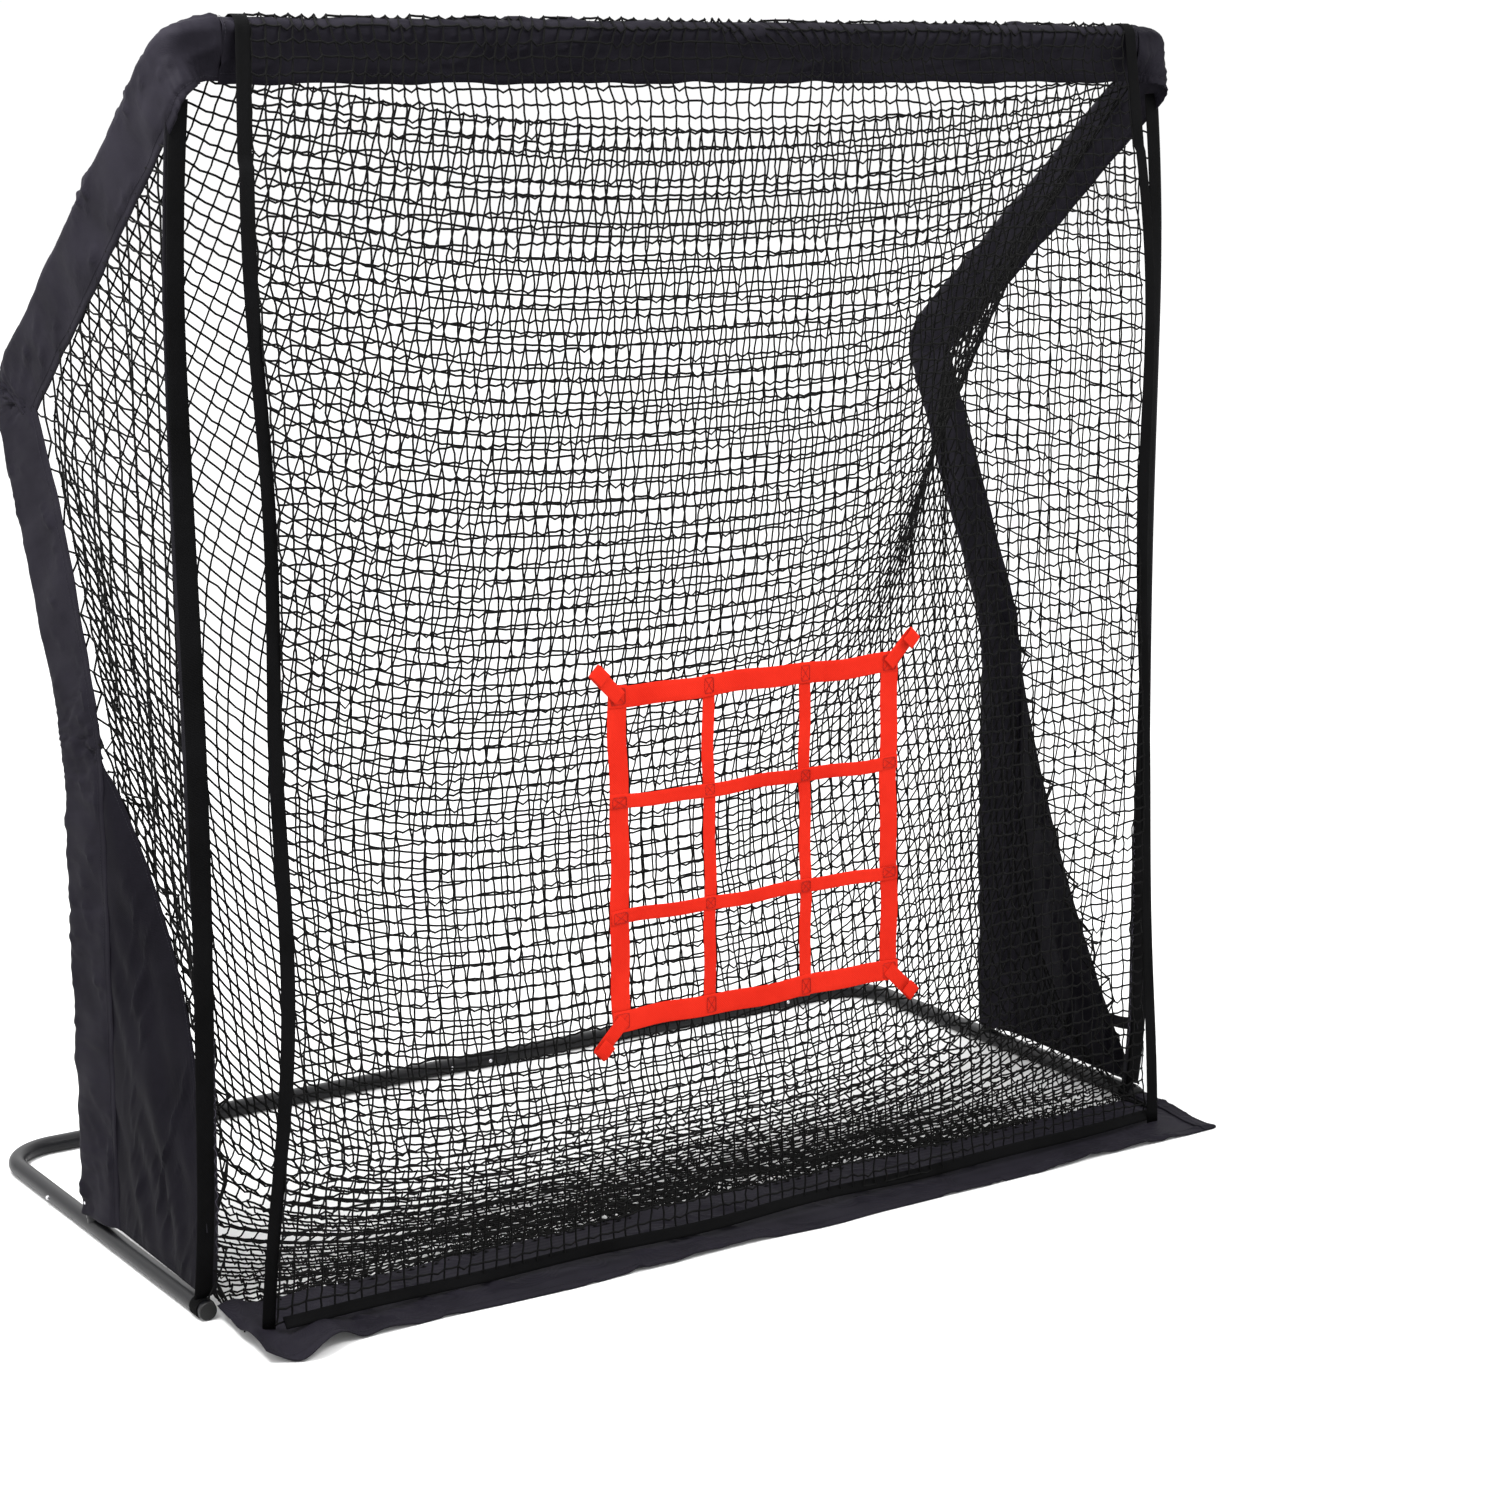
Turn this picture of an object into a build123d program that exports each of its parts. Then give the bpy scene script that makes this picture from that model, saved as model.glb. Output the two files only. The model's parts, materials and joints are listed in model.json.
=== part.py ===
"""Pitching target net: a steel tube frame held by snap buttons, with cloth sleeves, nets and a strike zone."""

import os
from math import atan2, cos, hypot, radians, sin

from build123d import *

os.makedirs("parts", exist_ok=True)

# ---- driving dimensions, millimetres ---------------------------------------------------------------------
HEIGHT = 2134.0  # floor to the top of the cloth over the crossbar
SIDE_X = 1012.0  # from the middle plane to the axis of each side frame
FLAP_FRONT_Y = -593.0  # front edge of the ground flap
FLAP_DEPTH = 215.0
REAR_Y = 577.0  # axis of the rear floor bar
FOOT_Y = 110.0  # the upright stands here on the side bar
KNEE_Z = 896.0
ELBOW_Y, ELBOW_Z = 382.0, 1500.0
BAR_Y = -395.0  # axis of the top bar

TUBE_R = 16.0
WALL = 1.5
SPIGOT_R = 14.3  # swaged tube end that goes into the next tube
SPIGOT_WALL = 1.4
SPIGOT_LENGTH = 60.0
SHOULDER = 5.0
BASE_BEND, KNEE_BEND, ELBOW_BEND, TOP_BEND = 100.0, 100.0, 80.0, 70.0
BUTTON_INSET = 30.0  # from the mouth of a joint to its button
CENTRE_GAP = 0.5  # half the gap between two half bars
COUPLER_LENGTH = 150.0
COUPLER_BUTTON_X = 45.0  # from the middle plane to the buttons of a coupler
CAP = 3.0
PLUG = 20.0

BUTTON_R = 3.8
BUTTON_TIP = 20.0  # from the tube axis to the tip of a button
BUTTON_HOLE_R = 4.2
BUTTON_EDGE = 1.8  # rounding of the tip
FLANGE_R, FLANGE_TOP = 5.5, 11.3
LEAF = (34.0, 7.0, 0.8)  # spring leaf: length, width, thickness
CLIP_DEPTH = 12.2  # the fixed leg of each spring lies this far below the tube axis
CLIP_TOP = 4.0  # the bend of the spring stops here, below the pressed leaf

CLOTH = 1.0  # thickness of sewn cloth and of the net stand-ins
SLEEVE_R = 22.5
SLEEVE_WEB = 96.0  # from the tube axis to the seam where the nets start
TOP_WEB = 70.0  # the same on the top bar
SLEEVE_FOOT_Z = 44.0
CORNER_SEAM_X = 932.0  # where the side sleeves meet the top sleeve
TOP_WRAP = 3.0  # room over the top sleeve for the wrap of the front net

STRAP_WIDTH = 38.0
STRAP = 2.0
STRAP_FOOT_Z = 5.0
STRAP_OVERLAP = 35.0  # of the front strap over the corner of the sleeve
LOOP = 1.5  # thickness of the loop round a tube end
LOOP_LENGTH = 30.0
LOOP_BACK = 8.0  # from the tube end to the loop
LOOP_FOOT_Z = 4.0  # a loop stays clear of the floor
TIE_WIDTH = 25.0
GUSSET_FOOT_Z = 37.0
GUSSET_TIP_Y = -352.0
GUSSET_TIP_Z = 70.0
GUSSET_TOP_DROP = 25.0  # from the knee of the seam to the top of the gusset
GUSSET_SAG = (-22.0, 10.0)  # how far the free edge bows at its middle
TIE_Z = 165.0  # the short tie between front strap and gusset
TIE_LENGTH = 80.0

CURTAIN_Y = -460.0  # hanging plane of the front net
CURTAIN_HALF = 935.0
CURTAIN_TOP = 2030.0  # the front net swings about this height
BINDING = 25.0
HEM = 28.0
HEM_Z = 9.0  # underside of the hem, just over the ground flap

TARGET_SIZE = 610.0
TARGET_Z = 712.0
TARGET_EDGE, TARGET_WEB = 38.0, 25.0
TARGET_TAB = (30.0, 62.0)  # width, length
TARGET_TAB_SHIFT = 9.0  # moves a corner tab out along its diagonal
DIAGONAL = 45.0  # degrees, the way the corner tabs point
TARGET_GAP = 0.4  # between the front net and the strike zone

NET_HALF = 985.0  # half width of the roof, back and floor nets
NET_FLOOR_Y = -85.0  # the back net meets the floor here

TOP_Z = HEIGHT - SLEEVE_R - TOP_WRAP
NET_TOP = (BAR_Y + 8.0, TOP_Z - SLEEVE_R - 18.0)  # the roof net starts here, behind the web of the top sleeve
FLAP_REAR_Y = FLAP_FRONT_Y + FLAP_DEPTH
TUBE_END_Y = FLAP_REAR_Y + 4.0
ARM_EDGE_Y = TUBE_END_Y + 40.0  # the web of a side sleeve leaves the arm here
SIDE_JOINT_Y = REAR_Y - 250.0
REAR_JOINT_X = SIDE_X - 182.0
STUB_TOP = 33.0
MID_JOINT_Z = 740.0
ARM_JOINT = 0.30  # share of the arm, from the elbow, where the arm tube starts
TOP_JOINT_X = SIDE_X - 172.0
SIDES = (("left", -1.0), ("right", 1.0))


def between(a, b, share):
    """The point that lies at a share of the way from a to b."""
    return tuple(p + (q - p) * share for p, q in zip(a, b))


def save(part, name):
    """Write one node under its own name."""
    part.label = name
    export_step(part, f"parts/{name}.step")


def route_of(points, radii):
    """A route of straight runs joined by tangent arcs."""
    with BuildLine() as route:
        if len(points) == 2:
            Line(*points)
        else:
            FilletPolyline(*points, radius=radii)
    return route.wire()


def bent_tube(points, radii=(), start=False, end=False, holes=()):
    """A round tube along a route, with a swaged spigot at either end and button holes across its wall."""
    path = route_of(points, radii)
    head = Plane(path @ 0, z_dir=path % 0)
    tail = Plane(path @ 1, z_dir=path % 1)
    with BuildPart() as tube:
        with BuildSketch(head):
            Circle(TUBE_R)
            Circle(TUBE_R - WALL, mode=Mode.SUBTRACT)
        sweep(path=path)
        for plane, wanted, outward in ((head, start, -1), (tail, end, 1)):
            if not wanted:
                continue
            with BuildSketch(plane):
                Circle(TUBE_R)
                Circle(SPIGOT_R - SPIGOT_WALL, mode=Mode.SUBTRACT)
            extrude(amount=-outward * SHOULDER)
            with BuildSketch(plane):
                Circle(SPIGOT_R)
                Circle(SPIGOT_R - SPIGOT_WALL, mode=Mode.SUBTRACT)
            extrude(amount=outward * SPIGOT_LENGTH)
        for place, outward in holes:
            with BuildSketch(Plane(place, z_dir=outward)):
                Circle(BUTTON_HOLE_R)
            extrude(amount=TUBE_R + WALL, mode=Mode.SUBTRACT)
    return tube.part


def sleeve_ring(points, radii):
    """A round cloth tube along a route, as a pair: the outer solid and the space for the steel."""
    path = route_of(points, radii)
    solids = []
    for radius in (SLEEVE_R, SLEEVE_R - CLOTH):
        with BuildPart() as rod:
            with BuildSketch(Plane(path @ 0, z_dir=path % 0)):
                Circle(radius)
            sweep(path=path)
        solids.append(rod.part)
    return solids


def side_plane(sx, half=CLOTH / 2):
    """A sketch plane across X, with local x along +Y and local y along +Z."""
    return Plane((sx * SIDE_X - half, 0, 0), x_dir=(0, 1, 0), z_dir=(1, 0, 0))


def inset(points, distance):
    """The same open outline moved sideways to its left by a distance."""
    lines = []
    for (ay, az), (by, bz) in zip(points, points[1:]):
        length = hypot(by - ay, bz - az)
        ny, nz = -(bz - az) / length, (by - ay) / length
        lines.append((ay + ny * distance, az + nz * distance, (by - ay) / length, (bz - az) / length))
    moved = [lines[0][:2]]
    for (ay, az, ey, ez), (by, bz, fy, fz) in zip(lines, lines[1:]):
        along = ((by - ay) * fz - (bz - az) * fy) / (ey * fz - ez * fy)
        moved.append((ay + ey * along, az + ez * along))
    ay, az, ey, ez = lines[-1]
    last = hypot(points[-1][0] - points[-2][0], points[-1][1] - points[-2][1])
    moved.append((ay + ey * last, az + ez * last))
    return moved


# ---- places that several parts share ---------------------------------------------------------------------
PROFILE = [(FOOT_Y, SLEEVE_FOOT_Z), (FOOT_Y, KNEE_Z), (ELBOW_Y, ELBOW_Z), (BAR_Y, TOP_Z)]
SEAM = inset(PROFILE, SLEEVE_WEB)
ARM_ANGLE = atan2(TOP_Z - ELBOW_Z, BAR_Y - ELBOW_Y)
TAN_TOP = (SEAM[3][1] - SEAM[2][1]) / (SEAM[3][0] - SEAM[2][0])
SEAM_FRONT_Z = SEAM[2][1] + (TUBE_END_Y - SEAM[2][0]) * TAN_TOP  # the seam where it meets the front strap
SLEEVE_FRONT = (TUBE_END_Y, SEAM_FRONT_Z)

GUSSET_TOP = (SEAM[0][0], SEAM[1][1] - GUSSET_TOP_DROP)
GUSSET_TIP = (GUSSET_TIP_Y, GUSSET_TIP_Z)
GUSSET_MIDDLE = tuple((a + b) / 2 + sag for a, b, sag in zip(GUSSET_TOP, GUSSET_TIP, GUSSET_SAG))

buttons = []  # name, place on the tube axis, outward direction, direction of the spring leaf


def seat(name, place, outward, leaf):
    buttons.append((name, place, outward, leaf))
    return place, outward


# ---- the frame -------------------------------------------------------------------------------------------
for side, sx in SIDES:
    x = sx * SIDE_X
    out = (sx, 0, 0)
    foot = (x, FOOT_Y, TUBE_R)
    knee = (x, FOOT_Y, KNEE_Z)
    elbow = (x, ELBOW_Y, ELBOW_Z)
    corner = (x, BAR_Y, TOP_Z)
    arm_joint = between(elbow, corner, ARM_JOINT)
    arm = Vector(0, cos(ARM_ANGLE), sin(ARM_ANGLE))

    side_seat = seat(f"side_bar_button_{side}", (x, SIDE_JOINT_Y - BUTTON_INSET, TUBE_R), out, (0, 1, 0))
    rear_seat = seat(
        f"rear_corner_button_{side}",
        (sx * (REAR_JOINT_X - BUTTON_INSET), REAR_Y, TUBE_R),
        (0, -1, 0),
        (sx, 0, 0),
    )
    foot_seat = seat(f"foot_button_{side}", (x, FOOT_Y, STUB_TOP + BUTTON_INSET), out, (0, 0, -1))
    mid_seat = seat(f"upright_button_{side}", (x, FOOT_Y, MID_JOINT_Z - BUTTON_INSET), out, (0, 0, 1))
    arm_place = tuple(Vector(*arm_joint) - arm * BUTTON_INSET)
    arm_seat = seat(f"arm_button_{side}", arm_place, out, tuple(arm))
    top_seat = seat(
        f"top_corner_button_{side}",
        (sx * (TOP_JOINT_X - BUTTON_INSET), BAR_Y, TOP_Z),
        (0, 1, 0),
        (sx, 0, 0),
    )
    top_middle = seat(
        f"top_middle_button_{side}", (sx * COUPLER_BUTTON_X, BAR_Y, TOP_Z), (0, 1, 0), (-sx, 0, 0)
    )
    rear_middle = seat(
        f"rear_middle_button_{side}", (sx * COUPLER_BUTTON_X, REAR_Y, TUBE_R), (0, -1, 0), (-sx, 0, 0)
    )

    # side floor bar, with the welded stub that the upright slips over
    bar = bent_tube([(x, TUBE_END_Y, TUBE_R), (x, SIDE_JOINT_Y, TUBE_R)], holes=[side_seat])
    with BuildPart() as base_side_tube:
        add(bar)
        with BuildSketch(Plane(foot)):
            Circle(SPIGOT_R)
        extrude(amount=STUB_TOP - TUBE_R + SPIGOT_LENGTH)
        with BuildSketch(Plane(foot)):
            Circle(SPIGOT_R - SPIGOT_WALL)
        extrude(amount=STUB_TOP - TUBE_R + SPIGOT_LENGTH, mode=Mode.SUBTRACT)
        with BuildSketch(Plane((x, TUBE_END_Y, TUBE_R), z_dir=(0, 1, 0))):
            Circle(TUBE_R - WALL)
        extrude(amount=SIDE_JOINT_Y - TUBE_END_Y, mode=Mode.SUBTRACT)
        with BuildSketch(Plane(foot_seat[0], z_dir=out)):
            Circle(BUTTON_HOLE_R)
        extrude(amount=TUBE_R, mode=Mode.SUBTRACT)
    save(base_side_tube.part, f"base_side_tube_{side}")

    # rear floor corner
    base_corner = bent_tube(
        [(x, SIDE_JOINT_Y, TUBE_R), (x, REAR_Y, TUBE_R), (sx * REAR_JOINT_X, REAR_Y, TUBE_R)],
        [BASE_BEND],
        start=True,
        end=True,
        holes=[side_seat, rear_seat],
    )
    save(base_corner, f"base_corner_{side}")

    # half of the rear floor bar
    base_rear_tube = bent_tube(
        [(sx * REAR_JOINT_X, REAR_Y, TUBE_R), (sx * CENTRE_GAP, REAR_Y, TUBE_R)],
        holes=[rear_seat, rear_middle],
    )
    save(base_rear_tube, f"base_rear_tube_{side}")

    # straight lower upright, over the stub
    lower_upright = bent_tube([(x, FOOT_Y, STUB_TOP), (x, FOOT_Y, MID_JOINT_Z)], holes=[foot_seat, mid_seat])
    save(lower_upright, f"lower_upright_{side}")

    # bent upright, through knee and elbow to the arm
    bent_upright = bent_tube(
        [(x, FOOT_Y, MID_JOINT_Z), knee, elbow, arm_joint],
        [KNEE_BEND, ELBOW_BEND],
        start=True,
        holes=[mid_seat, arm_seat],
    )
    save(bent_upright, f"bent_upright_{side}")

    # arm, with the rounded corner into the top bar
    arm_tube = bent_tube(
        [arm_joint, corner, (sx * TOP_JOINT_X, BAR_Y, TOP_Z)],
        [TOP_BEND],
        start=True,
        end=True,
        holes=[arm_seat, top_seat],
    )
    save(arm_tube, f"arm_tube_{side}")

    # half of the top bar
    top_bar = bent_tube(
        [(sx * TOP_JOINT_X, BAR_Y, TOP_Z), (sx * CENTRE_GAP, BAR_Y, TOP_Z)], holes=[top_seat, top_middle]
    )
    save(top_bar, f"top_bar_{side}")

# inner couplers that join the half bars
for name, y, z, outward in (("base_rear_coupler", REAR_Y, TUBE_R, -1), ("top_bar_coupler", BAR_Y, TOP_Z, 1)):
    with BuildPart() as coupler:
        with BuildSketch(Plane((-COUPLER_LENGTH / 2, y, z), z_dir=(1, 0, 0))):
            Circle(SPIGOT_R)
            Circle(SPIGOT_R - SPIGOT_WALL, mode=Mode.SUBTRACT)
        extrude(amount=COUPLER_LENGTH)
        for sx in (-1, 1):
            with BuildSketch(Plane((sx * COUPLER_BUTTON_X, y, z), z_dir=(0, outward, 0))):
                Circle(BUTTON_HOLE_R)
            extrude(amount=TUBE_R, mode=Mode.SUBTRACT)
    save(coupler.part, name)

# plugs in the open front ends of the side bars
with BuildPart() as end_caps:
    for _, sx in SIDES:
        with BuildSketch(Plane((sx * SIDE_X, TUBE_END_Y, TUBE_R), z_dir=(0, -1, 0))):
            Circle(TUBE_R)
        extrude(amount=CAP, taper=20)
        with BuildSketch(Plane((sx * SIDE_X, TUBE_END_Y, TUBE_R), z_dir=(0, 1, 0))):
            Circle(TUBE_R - WALL)
            Circle(TUBE_R - 2 * WALL, mode=Mode.SUBTRACT)
        extrude(amount=PLUG)
save(end_caps.part, "base_end_caps")

# ---- snap buttons and their springs ----------------------------------------------------------------------
length, width, thick = LEAF
for name, place, outward, leaf in buttons:
    up = Plane(place, x_dir=leaf, z_dir=outward)
    with BuildPart() as button:
        with BuildSketch(up.offset(FLANGE_TOP - 1)):
            Circle(BUTTON_R)
        extrude(amount=BUTTON_TIP - FLANGE_TOP + 1)
        fillet(button.faces().sort_by(Axis(place, outward))[-1].edges(), radius=BUTTON_EDGE)
        with BuildSketch(up.offset(FLANGE_TOP - 1)):
            Circle(FLANGE_R)
        extrude(amount=1)
        with BuildSketch(up.offset(FLANGE_TOP - 1 - thick)):
            with Locations((length / 2 - FLANGE_R, 0)):
                Rectangle(length, width)
        extrude(amount=thick)
    save(button.part, name)

with BuildPart() as snap_springs:
    for name, place, outward, leaf in buttons:
        up = Plane(place, x_dir=leaf, z_dir=outward)
        with BuildSketch(up.offset(-CLIP_DEPTH)):
            with Locations((length / 2 - FLANGE_R, 0)):
                Rectangle(length + 2, width)
        extrude(amount=thick)
        with BuildSketch(up.offset(-CLIP_DEPTH)):
            with Locations((length + 1 - FLANGE_R - thick / 2, 0)):
                Rectangle(thick, width)
        extrude(amount=CLIP_DEPTH + CLIP_TOP)
save(snap_springs.part, "snap_springs")

# ---- cloth sleeves ---------------------------------------------------------------------------------------
for side, sx in SIDES:
    x = sx * SIDE_X
    outer, inner = sleeve_ring(
        [(x, y, z) for y, z in PROFILE] + [(sx * CORNER_SEAM_X, BAR_Y, TOP_Z)],
        [KNEE_BEND, ELBOW_BEND, TOP_BEND],
    )
    on_arm = (ARM_EDGE_Y, PROFILE[2][1] + (ARM_EDGE_Y - PROFILE[2][0]) * TAN_TOP)
    with BuildPart() as side_sleeve:
        with BuildSketch(side_plane(sx)):
            with BuildLine():
                FilletPolyline(*PROFILE[:3], on_arm, radius=[KNEE_BEND, ELBOW_BEND])
                Polyline(on_arm, SLEEVE_FRONT, *reversed(SEAM[:3]), PROFILE[0])
            make_face()
        extrude(amount=CLOTH)
        add(outer)
        add(inner, mode=Mode.SUBTRACT)
    save(side_sleeve.part, f"side_sleeve_{side}")

    # three-cornered lower side panel
    with BuildPart() as gusset:
        with BuildSketch(side_plane(sx)):
            with BuildLine():
                ThreePointArc(GUSSET_TOP, GUSSET_MIDDLE, GUSSET_TIP)
                Polyline(GUSSET_TIP, (GUSSET_TIP_Y, GUSSET_FOOT_Z), SEAM[0], GUSSET_TOP)
            make_face()
        extrude(amount=CLOTH)
    save(gusset.part, f"gusset_{side}")

    # binding strap down the front edge, from the top corner to the tube end
    with BuildPart() as front_strap:
        with BuildSketch(Plane.XY.offset(STRAP_FOOT_Z)):
            with Locations((x, TUBE_END_Y - CAP - STRAP)):
                Rectangle(STRAP_WIDTH, STRAP)
        extrude(amount=SEAM_FRONT_Z + STRAP_OVERLAP - STRAP_FOOT_Z)
    save(front_strap.part, f"front_strap_{side}")

    # side net, from the sleeve seam to the front strap
    with BuildPart() as side_net:
        with BuildSketch(side_plane(sx)):
            with BuildLine():
                ThreePointArc(GUSSET_TOP, GUSSET_MIDDLE, GUSSET_TIP)
                Polyline(GUSSET_TIP, (TUBE_END_Y, GUSSET_TIP_Z), SLEEVE_FRONT, SEAM[2], SEAM[1], GUSSET_TOP)
            make_face()
        extrude(amount=CLOTH)
    save(side_net.part, f"side_net_{side}")

# the sleeve of the top bar, with its hanging web
with BuildPart() as top_sleeve:
    with BuildSketch(Plane((-CORNER_SEAM_X, BAR_Y, TOP_Z), z_dir=(1, 0, 0))):
        Circle(SLEEVE_R)
    extrude(amount=2 * CORNER_SEAM_X)
    with BuildSketch(Plane.XY.offset(TOP_Z - TOP_WEB)):
        with Locations((0, BAR_Y)):
            Rectangle(2 * CORNER_SEAM_X, CLOTH)
    extrude(amount=TOP_WEB)
    with BuildSketch(Plane((-CORNER_SEAM_X, BAR_Y, TOP_Z), z_dir=(1, 0, 0))):
        Circle(SLEEVE_R - CLOTH)
    extrude(amount=2 * CORNER_SEAM_X, mode=Mode.SUBTRACT)
save(top_sleeve.part, "top_sleeve")

# loops that hold the straps to the tube ends, and the ties between strap and gusset
with BuildPart() as strap_loops:
    for _, sx in SIDES:
        with BuildSketch(Plane((sx * SIDE_X, TUBE_END_Y + LOOP_BACK, TUBE_R), z_dir=(0, 1, 0))):
            Circle(TUBE_R + LOOP)
            Circle(TUBE_R, mode=Mode.SUBTRACT)
        extrude(amount=LOOP_LENGTH)
    split(bisect_by=Plane.XY.offset(LOOP_FOOT_Z), keep=Keep.TOP)
save(strap_loops.part, "strap_loops")

with BuildPart() as tie_tabs:
    for _, sx in SIDES:
        with BuildSketch(Plane.XY.offset(TIE_Z - TIE_WIDTH / 2)):
            with Locations((sx * (SIDE_X - CLOTH - STRAP / 2), TUBE_END_Y + TIE_LENGTH / 2)):
                Rectangle(STRAP, TIE_LENGTH)
        extrude(amount=TIE_WIDTH)
save(tie_tabs.part, "tie_tabs")

# ---- main net --------------------------------------------------------------------------------------------
NET_FLOOR = (NET_FLOOR_Y, 0)


def net_slab(name, a, b):
    """A flat net between two lines across the goal, given as (y, z)."""
    run = hypot(b[0] - a[0], b[1] - a[1])
    ey, ez = (b[0] - a[0]) / run, (b[1] - a[1]) / run
    start = (a[0] + ey * CLOTH, a[1] + ez * CLOTH)
    stop = (b[0] - ey * CLOTH, b[1] - ez * CLOTH)
    with BuildPart() as slab:
        with BuildSketch(Plane((-NET_HALF, 0, 0), x_dir=(0, 1, 0), z_dir=(1, 0, 0))):
            with BuildLine():
                Polyline(
                    start,
                    stop,
                    (stop[0] - ez * CLOTH, stop[1] + ey * CLOTH),
                    (start[0] - ez * CLOTH, start[1] + ey * CLOTH),
                    close=True,
                )
            make_face()
        extrude(amount=2 * NET_HALF)
    save(slab.part, name)


net_slab("roof_net", NET_TOP, SEAM[2])
net_slab("back_net", SEAM[2], SEAM[1])
net_slab("lower_back_net", SEAM[1], NET_FLOOR)
net_slab("floor_net", (FLAP_REAR_Y, 0), (NET_FLOOR_Y - CLOTH, 0))

# strip of cloth on the ground, under the front net
with BuildPart() as ground_flap:
    with BuildSketch(Plane.XY):
        with Locations((0, FLAP_FRONT_Y + FLAP_DEPTH / 2)):
            Rectangle(2 * (SIDE_X + STRAP_WIDTH / 2), FLAP_DEPTH)
    extrude(amount=CLOTH)
save(ground_flap.part, "ground_flap")

# ---- front net -------------------------------------------------------------------------------------------
with BuildPart() as front_net_wrap:
    front_y = BAR_Y - SLEEVE_R
    with BuildSketch(Plane((-CURTAIN_HALF, BAR_Y, TOP_Z), z_dir=(1, 0, 0))):
        Circle(SLEEVE_R + TOP_WRAP)
    extrude(amount=2 * CURTAIN_HALF)
    split(bisect_by=Plane.XY.offset(TOP_Z), keep=Keep.TOP)
    with BuildSketch(Plane((-CURTAIN_HALF, 0, 0), x_dir=(0, 1, 0), z_dir=(1, 0, 0))):
        with BuildLine():
            Polyline(
                (front_y - TOP_WRAP, TOP_Z),
                (CURTAIN_Y - CLOTH, CURTAIN_TOP + 1),
                (CURTAIN_Y + CLOTH, CURTAIN_TOP + 1),
                (front_y - CLOTH / 2, TOP_Z),
                close=True,
            )
        make_face()
    extrude(amount=2 * CURTAIN_HALF)
    with BuildSketch(Plane((-CURTAIN_HALF, BAR_Y, TOP_Z), z_dir=(1, 0, 0))):
        Circle(SLEEVE_R + TOP_WRAP - CLOTH)
    extrude(amount=2 * CURTAIN_HALF, mode=Mode.SUBTRACT)
save(front_net_wrap.part, "front_net_wrap")


def curtain_slab(name, x0, x1, z0, z1, thickness):
    """An upright rectangle in the plane of the front net."""
    with BuildPart() as slab:
        with BuildSketch(Plane.XY.offset(z0)):
            with Locations(((x0 + x1) / 2, CURTAIN_Y)):
                Rectangle(x1 - x0, thickness)
        extrude(amount=z1 - z0)
    save(slab.part, name)


inner_half = CURTAIN_HALF - BINDING
curtain_slab("front_net", -inner_half, inner_half, HEM_Z + HEM, CURTAIN_TOP, CLOTH)
curtain_slab("front_net_hem", -inner_half, inner_half, HEM_Z, HEM_Z + HEM, 3 * CLOTH)
curtain_slab("front_net_binding_left", -CURTAIN_HALF, -inner_half, HEM_Z, CURTAIN_TOP, STRAP)
curtain_slab("front_net_binding_right", inner_half, CURTAIN_HALF, HEM_Z, CURTAIN_TOP, STRAP)

# ---- strike zone -----------------------------------------------------------------------------------------
face_y = CURTAIN_Y - CLOTH / 2 - TARGET_GAP  # the plane that lies on the front net
edge_at = (TARGET_SIZE - TARGET_EDGE) / 2
web_at = TARGET_SIZE / 6
webs = ((-edge_at, TARGET_EDGE), (-web_at, TARGET_WEB), (web_at, TARGET_WEB), (edge_at, TARGET_EDGE))

with BuildPart() as target_vertical_webs:
    with BuildSketch(Plane((0, face_y, TARGET_Z), x_dir=(1, 0, 0), z_dir=(0, -1, 0))):
        for place, web in webs:
            with Locations((place, 0)):
                Rectangle(web, TARGET_SIZE)
    extrude(amount=STRAP)
save(target_vertical_webs.part, "target_vertical_webs")

with BuildPart() as target_horizontal_webs:
    with BuildSketch(Plane((0, face_y - STRAP, TARGET_Z), x_dir=(1, 0, 0), z_dir=(0, -1, 0))):
        for place, web in webs:
            with Locations((0, place)):
                Rectangle(TARGET_SIZE, web)
    extrude(amount=STRAP)
save(target_horizontal_webs.part, "target_horizontal_webs")

with BuildPart() as target_corner_tabs:
    with BuildSketch(Plane((0, face_y, TARGET_Z), x_dir=(1, 0, 0), z_dir=(0, -1, 0))):
        reach = TARGET_SIZE / 2 + TARGET_TAB[1] / 2 * cos(radians(DIAGONAL)) + TARGET_TAB_SHIFT
        for sx in (-1, 1):
            for sz in (-1, 1):
                with Locations(Location((sx * reach, sz * reach), DIAGONAL * sx * sz)):
                    Rectangle(TARGET_TAB[1], TARGET_TAB[0])
        Rectangle(TARGET_SIZE, TARGET_SIZE, mode=Mode.SUBTRACT)
    extrude(amount=STRAP)
save(target_corner_tabs.part, "target_corner_tabs")
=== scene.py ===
"""Looks of the pitching target net: draped twine nets, wrinkled sleeves, webbing and coated tube."""

import json
import math

import bpy
import numpy as np
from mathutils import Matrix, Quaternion, Vector


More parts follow.
